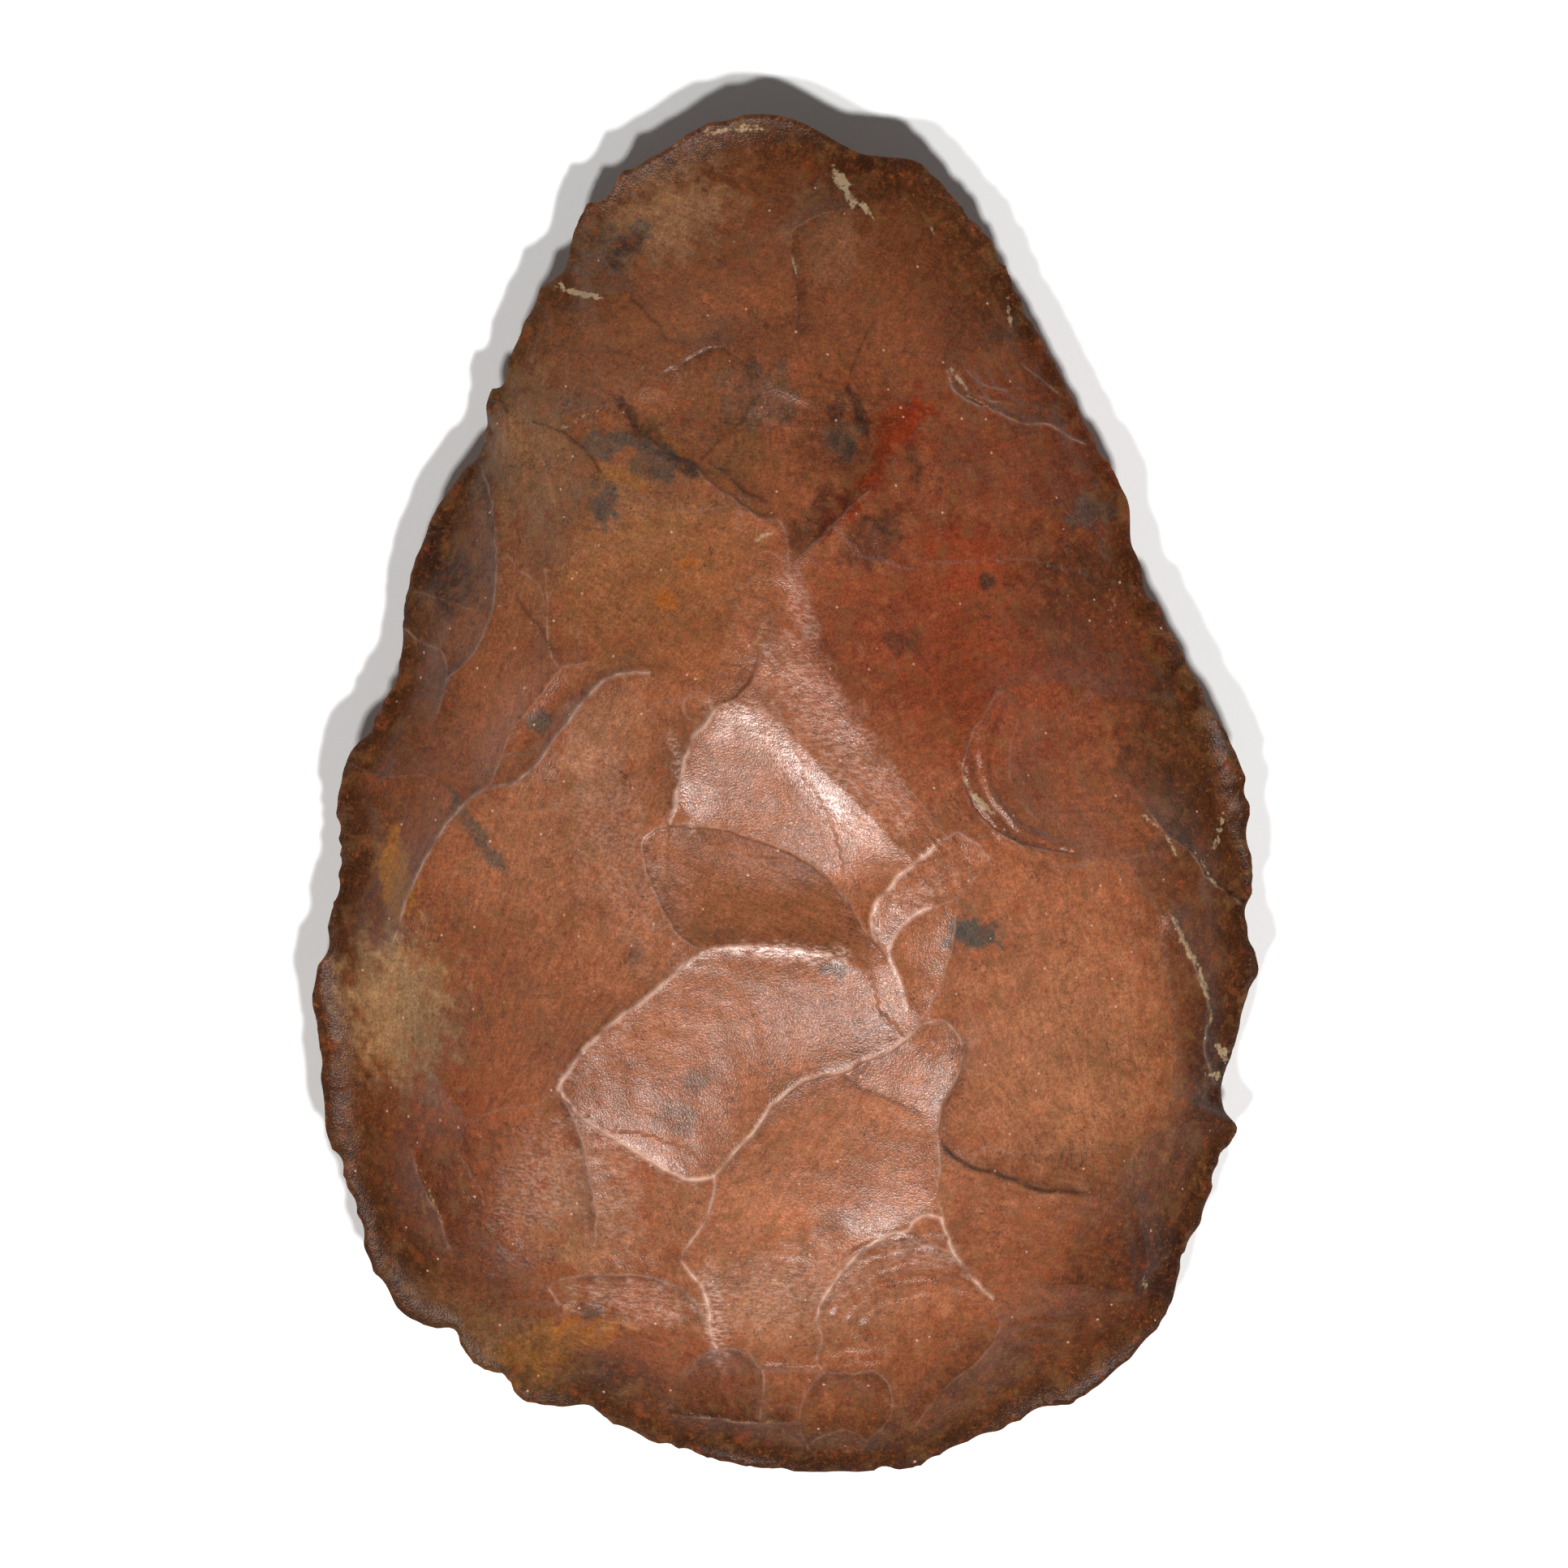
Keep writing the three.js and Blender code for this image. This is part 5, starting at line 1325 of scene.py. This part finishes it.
def edge_height(turn, wave):
    """How far the edge winds up or down in each direction."""
    return wave * sum(share * np.sin(count * turn + phase) for share, count, phase in EDGE_WAVES)


def rim_marks(shape, colours, edge, rim):
    """What the mesh holds at each point of the rim: its height, and all that the material reads."""
    none = np.zeros(len(rim))
    return {"height": edge_height(polar(*rim.T)[0], shape.edge_wave),
            "patina": patina_colour(colours, edge, *rim.T, np.full(len(rim), RIM_TONE)),
            "ridge_wear_and_highlight": none, "chalk": none, "dull": none + 1, "polish_and_sheen": none,
            "struck": np.zeros((len(rim), 3))}


def face_marks(shape, colours, edge, face, points):
    """The same for the points of a face."""
    unit = shape.length / 100
    x, y = points.T
    high, bite = face.height(x, y)
    _, far, _, rub_and_highlight = face.ridge(x, y)
    share = edge.share(x, y)
    lift = edge_height(polar(x, y)[0], shape.edge_wave) * share ** 6
    rub_and_highlight, crack = np.maximum(rub_and_highlight, 0), np.maximum(-rub_and_highlight, 0)
    # Pale line on the ridges: rubbed wear with a painted highlight along the crest.
    pale_half = RIDGE_LINE_LEAST + RIDGE_LINE_MORE * rub_and_highlight
    pale = (np.exp(-(far * unit / pale_half) ** 2) * rub_and_highlight ** 1.6
            * np.clip(0.82 + 0.45 * swell(x, y, 2.2, 77) + 0.3 * swell(x, y, 0.8, 78), 0.25, 1.2))
    # Painted shade in the nicks.
    tone = 1 - NICK_SHADE * bite
    frost_and_sheen, rind, matt = np.zeros_like(x), np.zeros_like(x), ease(share, 0.62, 1.0)
    if isinstance(face, SeenFace):
        z = lift + high * unit
        # Painted sheen: pale frost grains on the roll and on the polished places.
        frost_and_sheen = strongest(ROLL_FROST_AND_SHEEN * face.rolled(x, y), POLISH_AND_SHEEN, x, y, 0.2, (1.3, 0.5))
        rind = strongest(rind, CHALK, x, y, 0.22, (1.2, 0.7))
        matt = strongest(matt, MATT, x, y, 0.06, (1.05, 0.85))
        # Painted shade under broken lips, beside firm ridges and in the cracks at their feet, and along the
        # last strip to the edge.
        tone = tone * face.shade(x, y) * (1 - EDGE_SHADE * ease(share, 0.93, 1.0))
        tone *= 1 - crack * np.exp(-(far / HAIRLINE_HALF) ** 2)
    else:
        z = np.maximum(lift - high * unit, -shape.rest_drop)
    return {"height": z, "patina": patina_colour(colours, edge, x, y, tone),
            "ridge_wear_and_highlight": np.clip(pale, 0, 1), "chalk": rind, "dull": matt, "polish_and_sheen": frost_and_sheen,
            "struck": face.struck(x, y, face.depth(x, y)[1]) * unit}


def build_stone(shape, colours):
    unit = shape.length / 100
    edge = Edge(shape.nibble)
    upper = SeenFace(edge, UPPER_SCARS, shape.crown_rise / unit, CROWN_POWER, NO_FLAT, SEEN_SEED,
                     shape.ripple)
    lower = Face(edge, UNDER_SCARS, shape.belly_bulge / unit, BELLY_POWER, shape.rest_drop / unit,
                 UNDER_SEED, shape.ripple)
    rim = edge.rim(shape.grain * RIM_COARSER / unit)
    spots, triangles, marks = [rim], [], [rim_marks(shape, colours, edge, rim)]
    for face, spacing in ((upper, shape.grain), (lower, shape.grain * UNDER_COARSER)):
        inner = face_points(edge, face, spacing / unit)
        found = face_triangles(rim, inner)
        before = sum(len(part) for part in spots) - len(rim)
        moved = np.where(found < len(rim), found, found + before)
        triangles.append(moved if face is upper else moved[:, ::-1])
        spots.append(inner)
        marks.append(face_marks(shape, colours, edge, face, inner))

    plain = reach_line(OUTLINE, CAD_CURVE_STEPS)
    stretch = np.array([shape.width, shape.length]) / np.ptp(plain, axis=0)
    middle = (plain.max(0) + plain.min(0)) / 2
    plan = np.concatenate(spots) * stretch - middle * stretch
    z = np.concatenate([part["height"] for part in marks]) + shape.rest_drop
    mesh = bpy.data.meshes.new("hand_axe_stone")
    mesh.from_pydata(np.column_stack([plan, z]).tolist(), [], np.concatenate(triangles).tolist())
    for name, (kind, field) in ATTRIBUTES.items():
        values = np.concatenate([part[name] for part in marks])
        if kind == "FLOAT_COLOR":
            values = np.column_stack([values, np.ones(len(values))])
        layer = mesh.attributes.new(name, kind, "POINT")
        layer.data.foreach_set(field, values.astype(np.float32).ravel())
    mesh.shade_smooth()
    keep_rim_sharp(mesh, len(rim))
    mesh.update()
    return mesh


def keep_rim_sharp(mesh, count):
    """Marks the mesh edges that run along the rim, whose points are the first of the mesh."""
    ends = np.empty(len(mesh.edges) * 2, np.int32)
    mesh.edges.foreach_get("vertices", ends)
    ends = ends.reshape(-1, 2)
    step = np.abs(ends[:, 0] - ends[:, 1])
    on_rim = (ends < count).all(1) & ((step == 1) | (step == count - 1))
    mesh.attributes.new("sharp_edge", "BOOLEAN", "EDGE").data.foreach_set("value", on_rim)


class HANDAXE_OT_stone(bpy.types.Operator):
    """Build the knapped stone with its scars, ripples, stains, worn ridges and painted shade and highlights
    """

    bl_idname = "handaxe.stone"
    bl_label = "Build stone"

    def execute(self, context):
        scene = context.scene
        mesh = build_stone(scene.handaxe_shape, scene.handaxe_colours)
        if mesh.validate(verbose=False):
            raise RuntimeError("the stone's surface has broken triangles")
        stone = bpy.data.objects.new("hand_axe_stone", mesh)
        scene.collection.objects.link(stone)
        mesh.materials.append(patinated_flint(scene.handaxe_colours))
        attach(stone, "root")
        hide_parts("hand_axe")
        return {"FINISHED"}


class HANDAXE_OT_stage(bpy.types.Operator):
    """Lay the pale board under the stone and set the lights and the camera"""

    bl_idname = "handaxe.stage"
    bl_label = "Set stage"

    BOARD_HALF = 2.5
    LAMP_SIDE = 0.05
    LAMP_TARGET = (0, 0, 0.02)
    MAIN_PLACE = (0.12, -0.28, 1.0)
    SECOND_PLACE = (-0.12, -0.26, 1.0)
    LENS = 300                              # long, as in the photo, where nothing leans outwards
    SENSOR = 36
    PICTURE_WIDTH = 0.1735                  # metres that the picture is wide at the stone's edge
    PICTURE_MIDDLE = (-0.00022, 0.0010)
    VIEW_END = 10

    def execute(self, context):
        scene = context.scene
        look = scene.handaxe_stage
        self.board(scene, look)
        self.lamp(scene, "main_softbox", look.main_power, self.MAIN_PLACE)
        self.lamp(scene, "second_softbox", look.second_power, self.SECOND_PLACE)

        world = bpy.data.worlds.new("even_sky")
        scene.world = world
        world.use_nodes = True
        sky = world.node_tree.nodes["Background"]
        sky.inputs["Color"].default_value = (1, 1, 1, 1)
        sky.inputs["Strength"].default_value = look.sky

        camera = bpy.data.objects.new("camera", bpy.data.cameras.new("camera"))
        scene.collection.objects.link(camera)
        camera.data.lens = self.LENS
        camera.data.sensor_width = self.SENSOR
        away = self.PICTURE_WIDTH / 2 / (self.SENSOR / 2 / self.LENS)
        camera.location = (*self.PICTURE_MIDDLE, scene.handaxe_shape.rest_drop + away)
        camera.data.clip_end = self.VIEW_END
        scene.camera = camera
        scene.view_settings.view_transform = "Standard"
        return {"FINISHED"}

    def board(self, scene, look):
        mesh = bpy.data.meshes.new("board")
        half = self.BOARD_HALF
        mesh.from_pydata([(-half, -half, 0), (half, -half, 0), (half, half, 0), (-half, half, 0)], [],
                         [(0, 1, 2, 3)])
        board = bpy.data.objects.new("board", mesh)
        scene.collection.objects.link(board)
        mesh.materials.append(matte_board(look))

    def lamp(self, scene, name, power, place):
        light = bpy.data.lights.new(name, "AREA")
        light.shape = "RECTANGLE"
        light.size, light.size_y = self.LAMP_SIDE, self.LAMP_SIDE
        light.energy = power
        lamp = bpy.data.objects.new(name, light)
        scene.collection.objects.link(lamp)
        lamp.location = place
        aimed = (Vector(place) - Vector(self.LAMP_TARGET)).to_track_quat("Z", "Y")
        lamp.rotation_euler = aimed.to_euler()


class HANDAXE_PT_panel(bpy.types.Panel):
    bl_label = "Hand axe"
    bl_idname = "HANDAXE_PT_panel"
    bl_space_type = "VIEW_3D"
    bl_region_type = "UI"
    bl_category = "Hand axe"

    def draw(self, context):
        for group in GROUPS:
            box = self.layout.box()
            settings = getattr(context.scene, group)
            for name in settings.__annotations__:
                box.prop(settings, name)
        for operator in PIECES:
            self.layout.operator(operator.bl_idname)


GROUPS = {"handaxe_shape": StoneShape, "handaxe_colours": PatinaColours, "handaxe_stage": StageLook}
PIECES = (HANDAXE_OT_stone, HANDAXE_OT_stage)


def register():
    for made in (*GROUPS.values(), *PIECES, HANDAXE_PT_panel):
        bpy.utils.register_class(made)
    for name, group in GROUPS.items():
        setattr(bpy.types.Scene, name, bpy.props.PointerProperty(type=group))


def unregister():
    for name in GROUPS:
        delattr(bpy.types.Scene, name)
    for made in (HANDAXE_PT_panel, *PIECES, *GROUPS.values()):
        bpy.utils.unregister_class(made)


def main():
    register()
    bpy.ops.handaxe.stone()
    bpy.ops.handaxe.stage()


if __name__ == "__main__":
    main()
